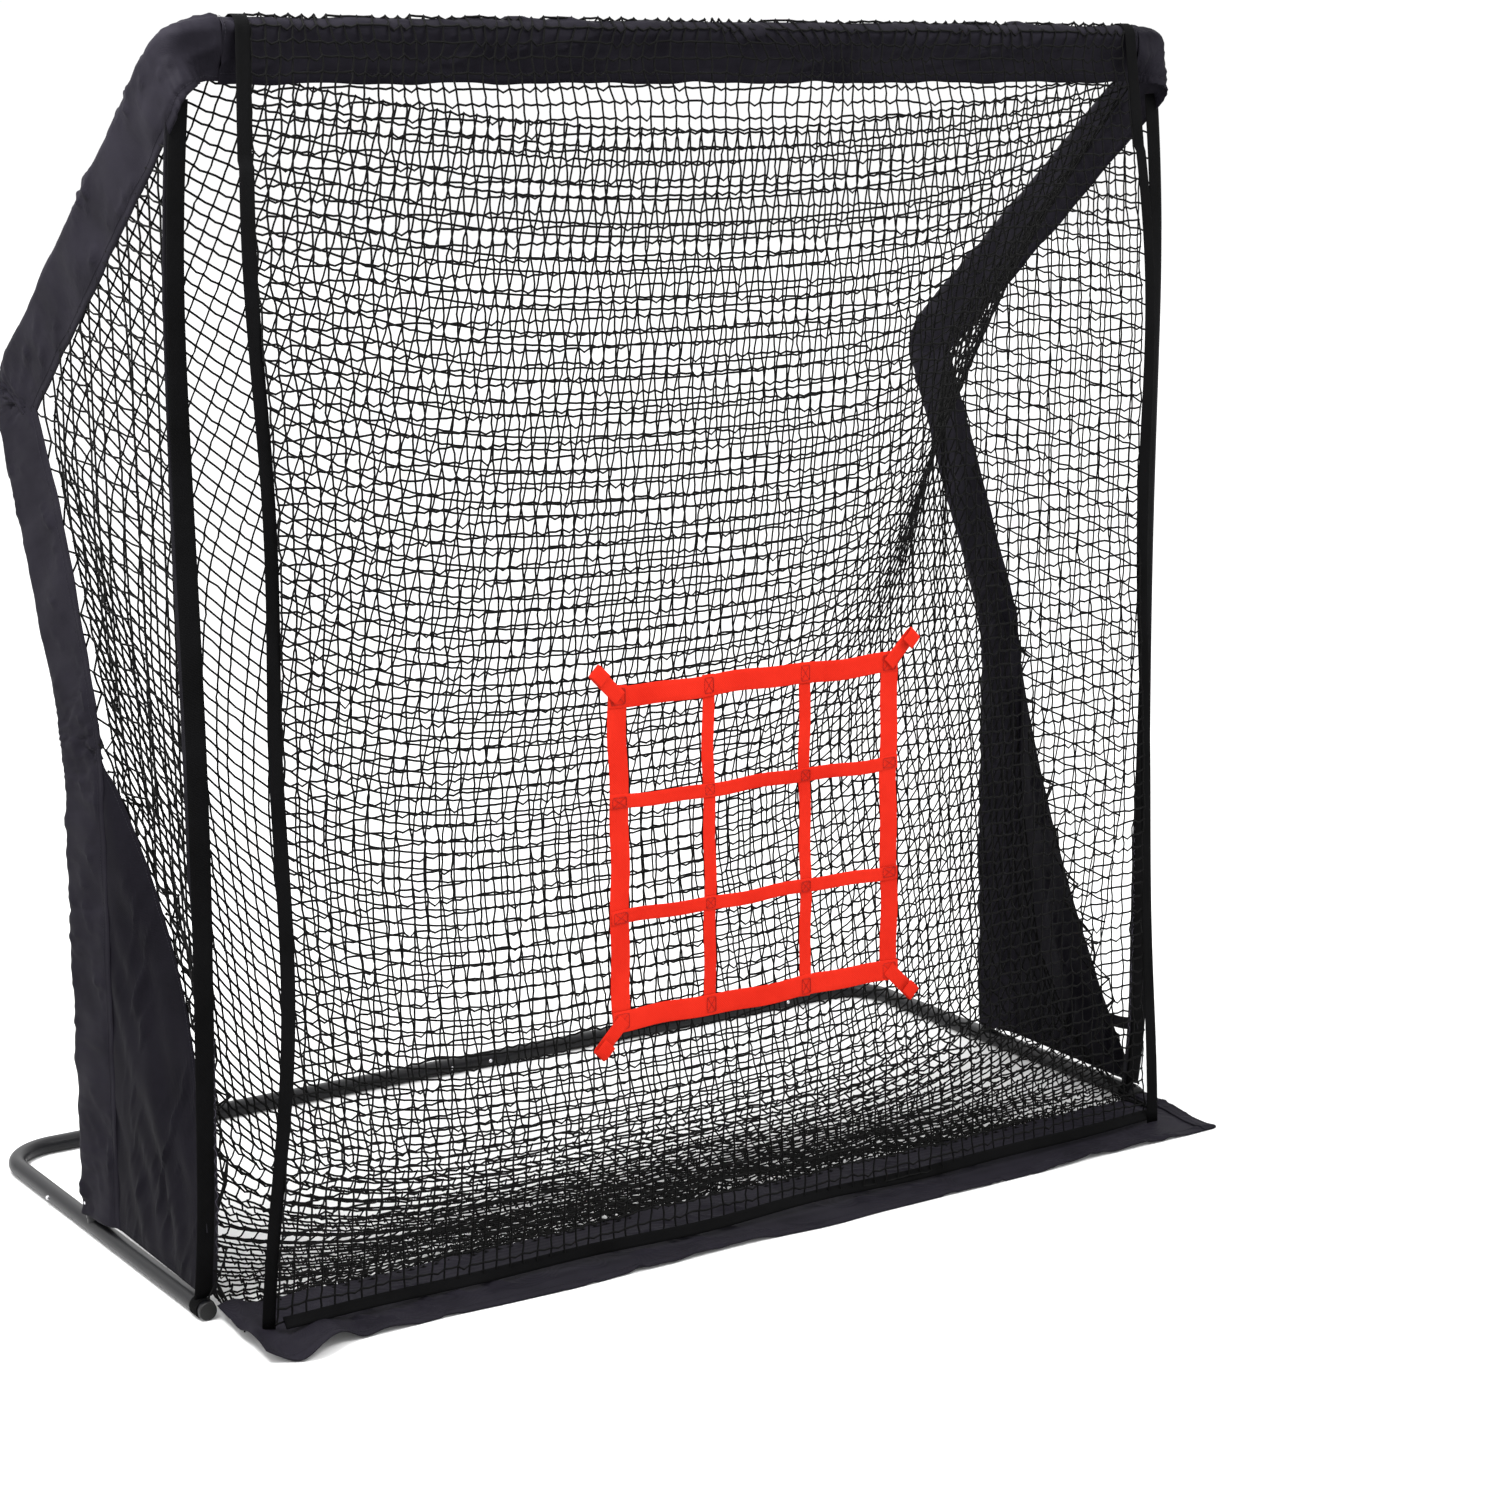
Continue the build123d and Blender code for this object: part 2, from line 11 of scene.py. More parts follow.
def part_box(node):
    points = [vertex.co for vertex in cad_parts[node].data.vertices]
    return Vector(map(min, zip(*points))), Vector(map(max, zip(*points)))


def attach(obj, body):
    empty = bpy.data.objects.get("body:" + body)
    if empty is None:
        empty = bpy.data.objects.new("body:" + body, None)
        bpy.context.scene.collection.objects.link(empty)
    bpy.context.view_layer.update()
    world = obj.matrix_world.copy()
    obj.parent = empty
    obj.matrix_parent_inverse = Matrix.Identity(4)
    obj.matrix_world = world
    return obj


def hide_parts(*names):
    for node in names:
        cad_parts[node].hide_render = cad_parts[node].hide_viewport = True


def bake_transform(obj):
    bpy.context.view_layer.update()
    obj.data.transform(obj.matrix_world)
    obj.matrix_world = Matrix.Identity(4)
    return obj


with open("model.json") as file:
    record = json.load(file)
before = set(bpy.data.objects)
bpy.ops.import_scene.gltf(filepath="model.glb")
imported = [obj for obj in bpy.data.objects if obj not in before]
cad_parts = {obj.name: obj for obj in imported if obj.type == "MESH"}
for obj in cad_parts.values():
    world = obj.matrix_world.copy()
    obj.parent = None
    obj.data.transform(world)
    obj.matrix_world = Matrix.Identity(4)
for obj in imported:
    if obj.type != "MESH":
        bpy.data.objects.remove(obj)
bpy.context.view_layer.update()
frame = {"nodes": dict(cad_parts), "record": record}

GRAVITY = 9.81
TWINE_R, KNOT_R = 0.0019, 0.0036
TWINE_SWAY = 0.0009  # how unevenly the knots and twines lie
FINE_MESH, WIDE_MESH = 0.025, 0.044
CLOTH = 0.0008  # thickness
FLANGE = 0.012  # what stands beyond a sleeve's seam
NET_SHARE, WIDE_SHARE = 0.47, 0.31  # surface of the twine, as a share of the flat net
SIDES = (("left", -1), ("right", 1))


# ---- places, all read from the frame ----
def middle(node):
    low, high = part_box(node)
    return (low + high) / 2


def meet(a, da, b, db):
    """The point where two lines of the side plane cross."""
    t = ((b[0] - a[0]) * db[1] - (b[1] - a[1]) * db[0]) / (da[0] * db[1] - da[1] * db[0])
    return a + da * t


def unit(v):
    return v / np.linalg.norm(v)


def units(vectors):
    """Each row as a unit vector."""
    return vectors / np.maximum(np.linalg.norm(vectors, axis=1, keepdims=True), 1e-9)


def clamp(values):
    """The values, held between 0 and 1."""
    return np.clip(values, 0, 1)


def xyz(x, y, z):
    """Points from their coordinates, each of them an array or one number."""
    return np.stack(np.broadcast_arrays(x, y, z), axis=-1)


def gaps(line):
    """The distances between neighbouring points of a polyline."""
    return np.linalg.norm(np.diff(np.asarray(line), axis=0), axis=1)


def line_length(line):
    return float(gaps(line).sum())


def walk(line, at):
    """The points of a polyline at some distances along it."""
    along = np.concatenate([[0], np.cumsum(gaps(line))])
    return np.stack([np.interp(at, along, column) for column in line.T], axis=1)


def resample(points, count):
    """Evenly spaced points along a polyline."""
    points = np.asarray(points, float)
    return walk(points, np.linspace(0, np.cumsum(gaps(points))[-1], count))


def rounded(points, radii, count):
    """Evenly spaced points along a polyline with its corners cut round."""
    points = [np.asarray(p, float) for p in points]
    path = [points[0]]
    for radius, before, at, after in zip(radii, points, points[1:], points[2:]):
        back, on = unit(before - at), unit(after - at)
        for share in np.linspace(0, 1, 9):
            path.append(at + back * radius * (1 - share) ** 2 + on * radius * share**2)
    return resample(path + [points[-1]], count)


def side_profile():
    """Points (y, z) of the tube axis from the foot to the top bar, and the seam's distance from it."""
    foot_y = middle("lower_upright_right").y
    bar = np.array(middle("top_bar_right")[1:])
    low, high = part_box("back_net")
    knee, elbow = np.array(low[1:]), np.array(high[1:])
    web = foot_y - knee[0]
    lean = unit(elbow - knee)
    outside = elbow + np.array([lean[1], -lean[0]]) * web
    axis_elbow = outside
    for _ in range(12):
        arm = unit(bar - axis_elbow)
        axis_elbow = meet(outside, lean, elbow + np.array([arm[1], -arm[0]]) * web, arm)
    axis_knee = meet(np.array([foot_y, 0.0]), np.array([0.0, 1.0]), outside, lean)
    foot_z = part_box("side_sleeve_right")[0].z
    return [np.array([foot_y, foot_z]), axis_knee, axis_elbow, bar], web


def seam_line(web):
    """The sleeve seam at a distance from the tube axis, from the foot to the top bar."""
    ways = [unit(after - at) for at, after in zip(AXIS, AXIS[1:])]
    steps = [np.array([-way[1], way[0]]) * web for way in ways]
    corners = zip(AXIS[1:], ways, ways[1:], steps, steps[1:])
    inner = [meet(at + a, before, at + b, after) for at, before, after, a, b in corners]
    return [AXIS[0] + steps[0], *inner, AXIS[3] + steps[2]]


AXIS, WEB = side_profile()
WEBS = {-1: WEB + 0.012, 1: WEB - 0.012}  # the left sleeve lies flatter than the right one
SIDE_X = middle("lower_upright_right").x
BAR_Y, BAR_Z = AXIS[3]
SLEEVE_LOW, SLEEVE_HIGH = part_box("top_sleeve")
SLEEVE_R = (SLEEVE_HIGH.y - SLEEVE_LOW.y) / 2
SEAM_X = SLEEVE_HIGH.x
TOP_WEB = BAR_Z - SLEEVE_LOW.z
TUBE_END_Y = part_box("base_side_tube_right")[0].y
CURTAIN_Y = middle("front_net").y
BINDING_LOW, BINDING_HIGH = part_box("front_net_binding_right")
CURTAIN_HALF = BINDING_HIGH.x
BINDING = BINDING_HIGH.x - BINDING_LOW.x
HEM_LOW, HEM_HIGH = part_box("front_net_hem")
FLAP_LOW, FLAP_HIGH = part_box("ground_flap")
ZONE_LOW, ZONE_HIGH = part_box("target_vertical_webs")


# ---- camera, light and floor ----
def add_object(name, data):
    """A new object in the scene."""
    made = bpy.data.objects.new(name, data)
    bpy.context.scene.collection.objects.link(made)
    return made


def add_camera():
    data = bpy.data.cameras.new("camera")
    data.lens = 75.3
    data.sensor_width = 36
    data.shift_y = -0.08
    data.clip_end = 60
    camera = add_object("camera", data)
    yaw, pitch = 0.5895, 0.170
    camera.location = (-3.012, TUBE_END_Y - 4.62, 2.012)
    ahead = Vector((math.sin(yaw) * math.cos(pitch), math.cos(yaw) * math.cos(pitch), -math.sin(pitch)))
    camera.rotation_mode = "QUATERNION"
    camera.rotation_quaternion = ahead.to_track_quat("-Z", "Y") @ Quaternion((0, 0, 1), -0.004)
    bpy.context.scene.camera = camera


def add_light(name, place, target, size, power):
    data = bpy.data.lights.new(name, "AREA")
    data.shape = "RECTANGLE"
    data.size, data.size_y = size
    data.energy = power
    light = add_object(name, data)
    light.location = place
    light.rotation_mode = "QUATERNION"
    light.rotation_quaternion = (Vector(target) - Vector(place)).to_track_quat("-Z", "Y")


def add_stage():
    mesh = bpy.data.meshes.new("floor")
    mesh.from_pydata([(-30, -30, 0), (30, -30, 0), (30, 30, 0), (-30, 30, 0)], [], [(0, 1, 2, 3)])
    floor = add_object("floor", mesh)
    paint, _, _, shader = new_material("floor_paint")
    set_inputs(shader, {
        "Base Color": (0.64, 0.64, 0.64, 1), "Roughness": 0.9, "Specular IOR Level": 0.05,
        "Emission Color": (1, 1, 1, 1), "Emission Strength": 0.04,
    })
    mesh.materials.append(paint)
    world = bpy.data.worlds.new("studio")
    bpy.context.scene.world = world
    world.use_nodes = True
    nodes, links = world.node_tree.nodes, world.node_tree.links
    place = node(nodes, "ShaderNodeTexCoord").outputs["Generated"]
    split = node(nodes, "ShaderNodeSeparateXYZ")
    links.new(place, split.inputs[0])
    overhead = node(nodes, "ShaderNodeMapRange")
    set_inputs(overhead, {"From Min": 0.05, "From Max": 0.9, "To Min": 1.03, "To Max": 2.3})
    links.new(split.outputs["Z"], overhead.inputs["Value"])
    links.new(overhead.outputs["Result"], nodes["Background"].inputs["Strength"])
    set_inputs(nodes["Background"], {"Color": (1, 1, 1, 1)})
    add_light("key", (-2.0, -0.3, 3.1), (-1.0, 0.2, 1.5), (1.2, 0.8), 120)
    add_light("fill", (0.8, -3.0, 4.2), (0, -0.4, 2.1), (3.0, 1.2), 130)
    add_light("rim", (1.5, 4.8, 4.2), (0, 0, 1.2), (3.5, 2.0), 40)
    bpy.context.scene.view_settings.view_transform = "Standard"


# ---- materials ----
def new_material(name):
    material = bpy.data.materials.new(name)
    material.use_nodes = True
    nodes, links = material.node_tree.nodes, material.node_tree.links
    return material, nodes, links, nodes["Principled BSDF"]


def set_inputs(shader_node, values):
    """Plain values on a node's sockets."""
    for key, value in values.items():
        shader_node.inputs[key].default_value = value


def node(nodes, kind, **values):
    """A new node, with values for its sockets or settings."""
    made = nodes.new(kind)
    for key, value in values.items():
        if key in made.inputs.keys():
            made.inputs[key].default_value = value
        else:
            setattr(made, key, value)
    return made


def colour_mix(nodes, links, factor, a, b, start=0.3, end=0.7):
    """A colour that goes from a to b as the factor goes from start to end."""
    ramp = nodes.new("ShaderNodeValToRGB")
    for stop, place, colour in zip(ramp.color_ramp.elements, (start, end), (a, b)):
        stop.position, stop.color = place, (*colour, 1)
    links.new(factor, ramp.inputs["Fac"])
    return ramp.outputs["Color"]


def texture(nodes, links, kind, **values):
    """A texture node in the object's own coordinates."""
    made = node(nodes, kind, **values)
    links.new(node(nodes, "ShaderNodeTexCoord").outputs["Object"], made.inputs["Vector"])
    return made


def bands(nodes, links, direction, **values):
    return texture(nodes, links, "ShaderNodeTexWave", wave_type="BANDS", bands_direction=direction, **values)


def add_relief(nodes, links, shader, height, strength, distance):
    relief = node(nodes, "ShaderNodeBump", Strength=strength, Distance=distance)
    links.new(height, relief.inputs["Height"])
    links.new(relief.outputs["Normal"], shader.inputs["Normal"])


def woven(name, dark, light, pitch, bump, rough, sheen):
    """Cloth or webbing: two crossing sets of threads, with a slow change of shade."""
    material, nodes, links, shader = new_material(name)
    weave = node(nodes, "ShaderNodeMath", operation="MULTIPLY")
    for number, (direction, density) in enumerate((("DIAGONAL", 0.18), ("Z", 0.31))):
        threads = bands(nodes, links, direction, Scale=1 / pitch * density, Distortion=0.6)
        links.new(threads.outputs["Fac"], weave.inputs[number])
    shade = texture(nodes, links, "ShaderNodeTexNoise", Scale=9.0, Detail=6.0, Roughness=0.6)
    mixed = node(nodes, "ShaderNodeMath", operation="MULTIPLY_ADD")
    links.new(weave.outputs[0], mixed.inputs[0])
    mixed.inputs[1].default_value = 0.35
    links.new(shade.outputs["Fac"], mixed.inputs[2])
    links.new(colour_mix(nodes, links, mixed.outputs[0], dark, light), shader.inputs["Base Color"])
    add_relief(nodes, links, shader, weave.outputs[0], bump, 0.0006)
    set_inputs(shader, {
        "Roughness": rough, "Sheen Weight": sheen, "Sheen Roughness": 0.5, "Specular IOR Level": 0.03,
    })
    return material


def twine_material(name, dark, light):
    """Braided twine: fine slanting strands."""
    material, nodes, links, shader = new_material(name)
    strands = bands(nodes, links, "DIAGONAL", Scale=260.0)
    links.new(colour_mix(nodes, links, strands.outputs["Fac"], dark, light), shader.inputs["Base Color"])
    set_inputs(shader, {"Roughness": 0.85, "Specular IOR Level": 0.08})
    return material


def coated(name, colour, edge, rough, metal, grain):
    """Powder coat, plating, plastic or thread: a fine grain, and lighter rubbed patches."""
    material, nodes, links, shader = new_material(name)
    peel = texture(nodes, links, "ShaderNodeTexNoise", Scale=grain, Detail=3.0)
    wear = texture(nodes, links, "ShaderNodeTexNoise", Scale=35.0, Detail=8.0, Roughness=0.7)
    links.new(
        colour_mix(nodes, links, wear.outputs["Fac"], colour, edge, 0.62, 0.82), shader.inputs["Base Color"]
    )
    add_relief(nodes, links, shader, peel.outputs["Fac"], 0.25, 0.0002)
    set_inputs(shader, {"Roughness": rough, "Metallic": metal, "Specular IOR Level": 0.5 if metal else 0.2})
    return material


# ---- mesh helpers ----
def noise(u, v, scale, seed, octaves=3):
    """A smooth field of u and v, in metres, roughly from -1 to 1."""
    rng = np.random.default_rng(seed)
    total, weight = 0.0, 0.0
    for octave in range(octaves):
        share = 0.55**octave
        for _ in range(4):
            turn, phase = rng.uniform(0, math.tau, 2)
            rate = math.tau / scale * 1.9**octave * rng.uniform(0.7, 1.3)
            total = total + share * np.sin(rate * (u * math.cos(turn) + v * math.sin(turn)) + phase)
        weight += share * 2
    return total / weight


def make_mesh(name, points, faces, material):
    """An object from a point array and a list of face arrays."""
    mesh = bpy.data.meshes.new(name)
    mesh.vertices.add(points.size // 3)
    mesh.vertices.foreach_set("co", points.astype(np.float32).ravel())
    sizes = np.concatenate([np.full(len(f), f.shape[1]) for f in faces])
    corners = np.concatenate([f.ravel() for f in faces])
    mesh.loops.add(len(corners))
    mesh.loops.foreach_set("vertex_index", corners.astype(np.int32))
    mesh.polygons.add(len(sizes))
    starts = np.concatenate([[0], np.cumsum(sizes)[:-1]])
    mesh.polygons.foreach_set("loop_start", starts.astype(np.int32))
    mesh.update(calc_edges=True)
    mesh.validate()
    mesh.polygons.foreach_set("use_smooth", np.ones(len(mesh.polygons), bool))
    mesh.materials.append(material)
    return add_object(name, mesh)


def grid_faces(rows, columns, wrap=False):
    """Quads of a grid of points, rows by columns; wrap closes each row on itself."""
    i = np.arange(rows - 1)[:, None] * columns
    j = np.arange(columns if wrap else columns - 1)[None, :]
    k = (j + 1) % columns
    return np.stack([i + j, i + k, i + columns + k, i + columns + j], axis=-1).reshape(-1, 4)


def tube_rings(paths, radius, sides):
    """Points and quads of many tubes at once. paths is an array of tubes by points by 3."""
    n, m = paths.shape[:2]
    along = units(paths[:, -1] - paths[:, 0])
    a = units(np.cross(along, np.where(np.abs(along[:, 2:]) < 0.8, [[0.0, 0.0, 1.0]], [[1.0, 0.0, 0.0]])))
    b = np.cross(along, a)
    turn = np.arange(sides) / sides * math.tau
    ring = a[:, None] * np.cos(turn)[None, :, None] + b[:, None] * np.sin(turn)[None, :, None]
    points = paths[:, :, None] + ring[:, None] * radius
    quads = (np.arange(n) * m * sides)[:, None, None] + grid_faces(m, sides, wrap=True)[None]
    return points.reshape(-1, 3), quads.reshape(-1, 4)


def knots(places, radius):
    """An eight-sided knot at each place."""
    corners = np.array([(1, 0, 0), (-1, 0, 0), (0, 1, 0), (0, -1, 0), (0, 0, 1), (0, 0, -1)]) * radius
    faces = np.array(
        [(0, 2, 4), (2, 1, 4), (1, 3, 4), (3, 0, 4), (2, 0, 5), (1, 2, 5), (3, 1, 5), (0, 3, 5)]
    )
    points = places[:, None] + corners[None]
    return points.reshape(-1, 3), (np.arange(len(places))[:, None, None] * 6 + faces[None]).reshape(-1, 3)


def solidify(piece, thickness):
    """Gives cloth its thickness, and applies it."""
    modifier = piece.modifiers.new("thickness", "SOLIDIFY")
    modifier.thickness = thickness
    modifier.offset = 0.0
    modifier.use_even_offset = False
    bpy.context.view_layer.update()
    applied = bpy.data.meshes.new_from_object(piece.evaluated_get(bpy.context.evaluated_depsgraph_get()))
    piece.modifiers.clear()
    piece.data = applied


def cloth_mesh(name, points, material):
    """A piece of cloth from a grid of points."""
    piece = make_mesh(name, points, [grid_faces(*points.shape[:2])], material)
    solidify(piece, CLOTH)
    return piece


def finish_piece(piece, body, slot, replaced=(), **sheet):
    """Puts a piece on its body, in place of CAD nodes. Its slot and its sheet are not used."""
    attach(piece, body)
    if replaced:
        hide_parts(*replaced)


# ---- nets ----
class Net:
    """A net of square meshes: knots, and the twines between them in four groups that share no knot."""

    def __init__(self, points, pinned, groups, rests):
        self.points, self.pinned = points, pinned
        self.groups, self.rests = groups, rests

    def relax(self, steps, sweeps, floor=None, shape=None):
        """Lets the net hang: knots fall, and a twine pulls fully but pushes only weakly."""
        step_s, damping, push = 1 / 60, 0.97, 0.3
        loose = (~self.pinned).astype(float)
        weights = [(loose[g[:, 0]], loose[g[:, 1]]) for g in self.groups]
        speed = np.zeros_like(self.points)
        for _ in range(steps):
            moved = self.points + speed * damping
            moved[:, 2] -= loose * GRAVITY * step_s**2 * 0.5
            for _ in range(sweeps):
                for g, rest, (wa, wb) in zip(self.groups, self.rests, weights):
                    gap = moved[g[:, 1]] - moved[g[:, 0]]
                    length = np.sqrt((gap * gap).sum(1))
                    total = np.maximum(wa + wb, 1e-9)
                    slack = length - rest
                    pull = np.where(slack > 0, slack, push * slack) / np.maximum(length, 1e-9) / total
                    gap *= pull[:, None]
                    moved[g[:, 0]] += gap * wa[:, None]
                    moved[g[:, 1]] -= gap * wb[:, None]
                if floor is not None:
                    moved[:, 2] = np.maximum(moved[:, 2], floor)
                if shape is not None:
                    shape(moved)
            moved[self.pinned] = self.points[self.pinned]
            speed = moved - self.points
            self.points = moved


def grid_net(points, pinned, rest_across, rest_along):
    """A net from a grid of knots, rows by columns. rest_along is one length, or one for each column."""
    rows, columns = pinned.shape
    index = np.arange(rows * columns).reshape(rows, columns)
    groups, rests = [], []
    for first in (0, 1):
        pairs = index[:, first : columns - 1 : 2], index[:, first + 1 :: 2]
        groups.append(np.stack(pairs, axis=-1).reshape(-1, 2))
        rests.append(np.full(len(groups[-1]), rest_across))
        pairs = index[first : rows - 1 : 2], index[first + 1 :: 2]
        groups.append(np.stack(pairs, axis=-1).reshape(-1, 2))
        rests.append(np.tile(np.broadcast_to(rest_along, columns), len(pairs[0])))
    return Net(points.reshape(-1, 3).copy(), pinned.ravel().copy(), groups, rests)


def twine_piece(name, net, material, droop, seed, strip=None):
    """Twines and knots of a net as one mesh. A slack twine hangs in a little curve.

    strip is (numbers, low, high): only twines whose first knot has its number from low up to high.
    """
    rng = np.random.default_rng(seed)
    pairs = np.concatenate(net.groups)
    rests = np.concatenate(net.rests)
    if strip is not None:
        numbers, low, high = strip
        first = numbers[pairs[:, 0]]
        kept = (first >= low) & (first < high)
        pairs, rests = pairs[kept], rests[kept]
    a, b = net.points[pairs[:, 0]], net.points[pairs[:, 1]]
    length = np.linalg.norm(b - a, axis=1)
    spare = np.maximum(rests - length, 0)
    level = 1 - np.abs(b - a)[:, 2] / np.maximum(length, 1e-9)
    depth = np.minimum(np.sqrt(0.375 * rests * spare), 0.3 * rests) + droop * rests
    paths = np.stack([a, (a + b) / 2, b], axis=1)
    paths[:, 1, 2] -= depth * np.clip(level * 1.5, 0.15, 1)
    paths[:, 1] += rng.normal(0, TWINE_SWAY, (len(a), 3))
    paths[:, 1, 2] = np.maximum(paths[:, 1, 2], TWINE_R)
    tube_points, quads = tube_rings(paths, TWINE_R, 4)
    knot_points, triangles = knots(net.points[np.unique(pairs)], KNOT_R)
    points = np.concatenate([tube_points, knot_points])
    return make_mesh(name, points, [quads, triangles + len(tube_points)], material)


def spread_floor_rows(grid):
    """Evens out the rows that lie close together on the floor and just above it."""
    inner = grid[1:-1, 1:-1]
    for _ in range(400):
        lying = clamp(1 - inner[..., 2] / 0.32)
        for axis, share in ((1, 0.6), (2, 0.3)):
            between = (grid[:-2, 1:-1, axis] + grid[2:, 1:-1, axis]) / 2
            inner[..., axis] += share * lying * (between - inner[..., axis])


def pleat(grid, start, way, length, width, strength):
    """Gathers the net along a short line: its knots slide over the surface towards that line."""
    rows, columns = grid.shape[:2]
    r, c = np.meshgrid(np.arange(rows), np.arange(columns), indexing="ij")
    along = (r - start[0]) * way[0] + (c - start[1]) * way[1]
    off = (c - start[1]) * way[0] - (r - start[0]) * way[1]
    fade = clamp(along / 2 + 0.3) * clamp(1.25 - along / length) ** 0.7
    pull = strength * fade * np.exp(-((off / width) ** 2))
    r = np.clip(r + pull * off * way[1], 0, rows - 1.001)
    c = np.clip(c - pull * off * way[0], 0, columns - 1.001)
    r0, c0 = r.astype(int), c.astype(int)
    fr, fc = (r - r0)[..., None], (c - c0)[..., None]
    low = grid[r0, c0] * (1 - fc) + grid[r0, c0 + 1] * fc
    high = grid[r0 + 1, c0] * (1 - fc) + grid[r0 + 1, c0 + 1] * fc
    grid[1:-1, 1:-1] = (low * (1 - fr) + high * fr)[1:-1, 1:-1]


def main_net(material):
    """The roof, back and floor net, hung from the sleeves and laid forward to the ground flap."""
    slack, ease = 1.026, 0.986  # spare width, and a length a little short of the way along the frame
    floor_z, foot_z = 0.004, 0.012
    roof_low, roof_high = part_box("roof_net")
    inner_x = roof_high.x
    foot = np.array([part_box("lower_back_net")[0].y - 0.05, foot_z])
    front = np.array([FLAP_HIGH.y - 0.01, foot_z])
    radii = (0.12, 0.12, 0.34)
    edges = []
    for sx in (-1, 1):
        seam = seam_line(WEBS[sx])
        edges.append([np.array([roof_low.y, roof_high.z]), seam[2], seam[1], foot, front])
    length = max(line_length(rounded(edge, radii, 400)) for edge in edges)
    rows = int(length * ease / FINE_MESH) + 1
    columns = int(2 * inner_x * slack / FINE_MESH) + 1
    left, right = (rounded(edge, radii, rows) for edge in edges)
    left_x, right_x = (
        np.minimum(SIDE_X - panel_pull(sx, line[:, 0], line[:, 1]) - 0.022, inner_x)
        for sx, line in ((-1, left), (1, right))
    )
    across = np.linspace(0, 1, columns)
    points = np.zeros((rows, columns, 3))
    points[..., 0] = -left_x[:, None] + (left_x + right_x)[:, None] * across[None]
    points[..., 1:] = left[:, None] + (right - left)[:, None] * across[None, :, None]
    bow = 1 - (np.linspace(-inner_x, inner_x, columns) / inner_x) ** 2
    share = np.linspace(0, 1, rows)
    points[..., 1] -= 0.10 * bow[None] * np.sin(share * math.pi)[:, None]
    drop = 0.12 * clamp(1 - share / 0.62) ** 1.3
    points[..., 2] = np.maximum(points[..., 2] - bow[None] * drop[:, None], floor_z)
    pinned = np.ones((rows, columns), bool)
    pinned[1:-1, 1:-1] = False
    run = np.linalg.norm(np.diff(points, axis=0), axis=2).sum(0)
    net = grid_net(points, pinned, 2 * inner_x * slack / (columns - 1), run * ease / (rows - 1))
    net.relax(34, 7, floor=floor_z)
    grid = net.points.reshape(rows, columns, 3)
    spread_floor_rows(grid)
    for sx, strength in ((1, 0.88), (-1, 0.5)):
        column = columns - 1 if sx > 0 else 0
        nearest = np.linalg.norm(grid[:, column, 1:] - seam_line(WEBS[sx])[2], axis=1)
        pleat(grid, (np.argmin(nearest) + 1, column), (0.88, -0.475 * sx), 15, 3.2, strength)
    x, y, z = net.points.T
    ripple = clamp(noise(x * 0.6, y * 1.5, 0.16, 61, 3) + 0.1)
    net.points[:, 2] += 0.010 * ripple * clamp(1 - z / 0.04) * ~net.pinned
    row_of = np.arange(rows * columns) // columns
    cuts = [int(rows * part) for part in (0, 0.26, 0.5, 0.75, 1)]
    nodes = ("roof_net", "back_net", "lower_back_net", "floor_net")
    for number, (low, high, stands_for) in enumerate(zip(cuts, cuts[1:], nodes)):
        piece = twine_piece(f"{stands_for}_twine", net, material, 0.05, number, (row_of, low, high))
        flat = (2 * inner_x * slack, (high - low) * length * ease / rows)
        finish_piece(
            piece, "root", "twine", [stands_for], flat=flat, held="hung",
            rests_on=["side_sleeve_left", "side_sleeve_right"], area=NET_SHARE * flat[0] * flat[1],
        )


def inside(polygon, y, z):
    """Which points lie inside a polygon of the side plane."""
    result = np.zeros(np.shape(y), bool)
    for (ay, az), (by, bz) in zip(polygon, polygon[1:] + polygon[:1]):
        crosses = (az > z) != (bz > z)
        at = ay + (z - az) / (bz - az if bz != az else 1e-9) * (by - ay)
        result ^= crosses & (y < at)
    return result


def gusset_edge(sx, count):
    """The free edge of the lower side panel, from the knee seam to the tube end, as (y, z, inward)."""
    low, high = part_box("gusset_right")
    top = np.array([AXIS[0][0] - WEBS[sx] - FLANGE / 2, high.z])
    tip = np.array([low.y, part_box("side_net_right")[0].z])
    share = np.linspace(0, 1, count)[:, None]
    bend = np.sin(share * math.pi)
    edge = top + (tip - top) * share + bend * np.array([-0.022, 0.010])
    return np.hstack([edge, 0.055 * bend**0.8])


def edge_at(edge, z):
    """How far back a panel's free edge is at a height, and how far it is drawn inward."""
    return np.interp(z, edge[::-1, 1], edge[::-1, 0]), np.interp(z, edge[::-1, 1], edge[::-1, 2])


def panel_pull(sx, y, z):
    """How far the lower side panel, or the net in front of it, is drawn inward at a place."""
    fade = 0.12  # how soon the pull is gone in front of the edge
    edge = gusset_edge(sx, 400)
    back_y = edge[0][0]
    far_y, pull = edge_at(edge, z)
    share = clamp((back_y - y) / np.maximum(back_y - far_y, 0.02))
    return pull * share**1.6 * np.exp(-np.clip(far_y - y, 0, None) / fade)


def crossing(polygon, a, b):
    """Where the way from a, inside a polygon, to b, outside, meets its edge."""
    low, high = 0.0, 1.0
    for _ in range(12):
        half = (low + high) / 2
        at = a + (b - a) * half
        low, high = (half, high) if inside(polygon, at[0], at[1]) else (low, half)
    return a + (b - a) * low


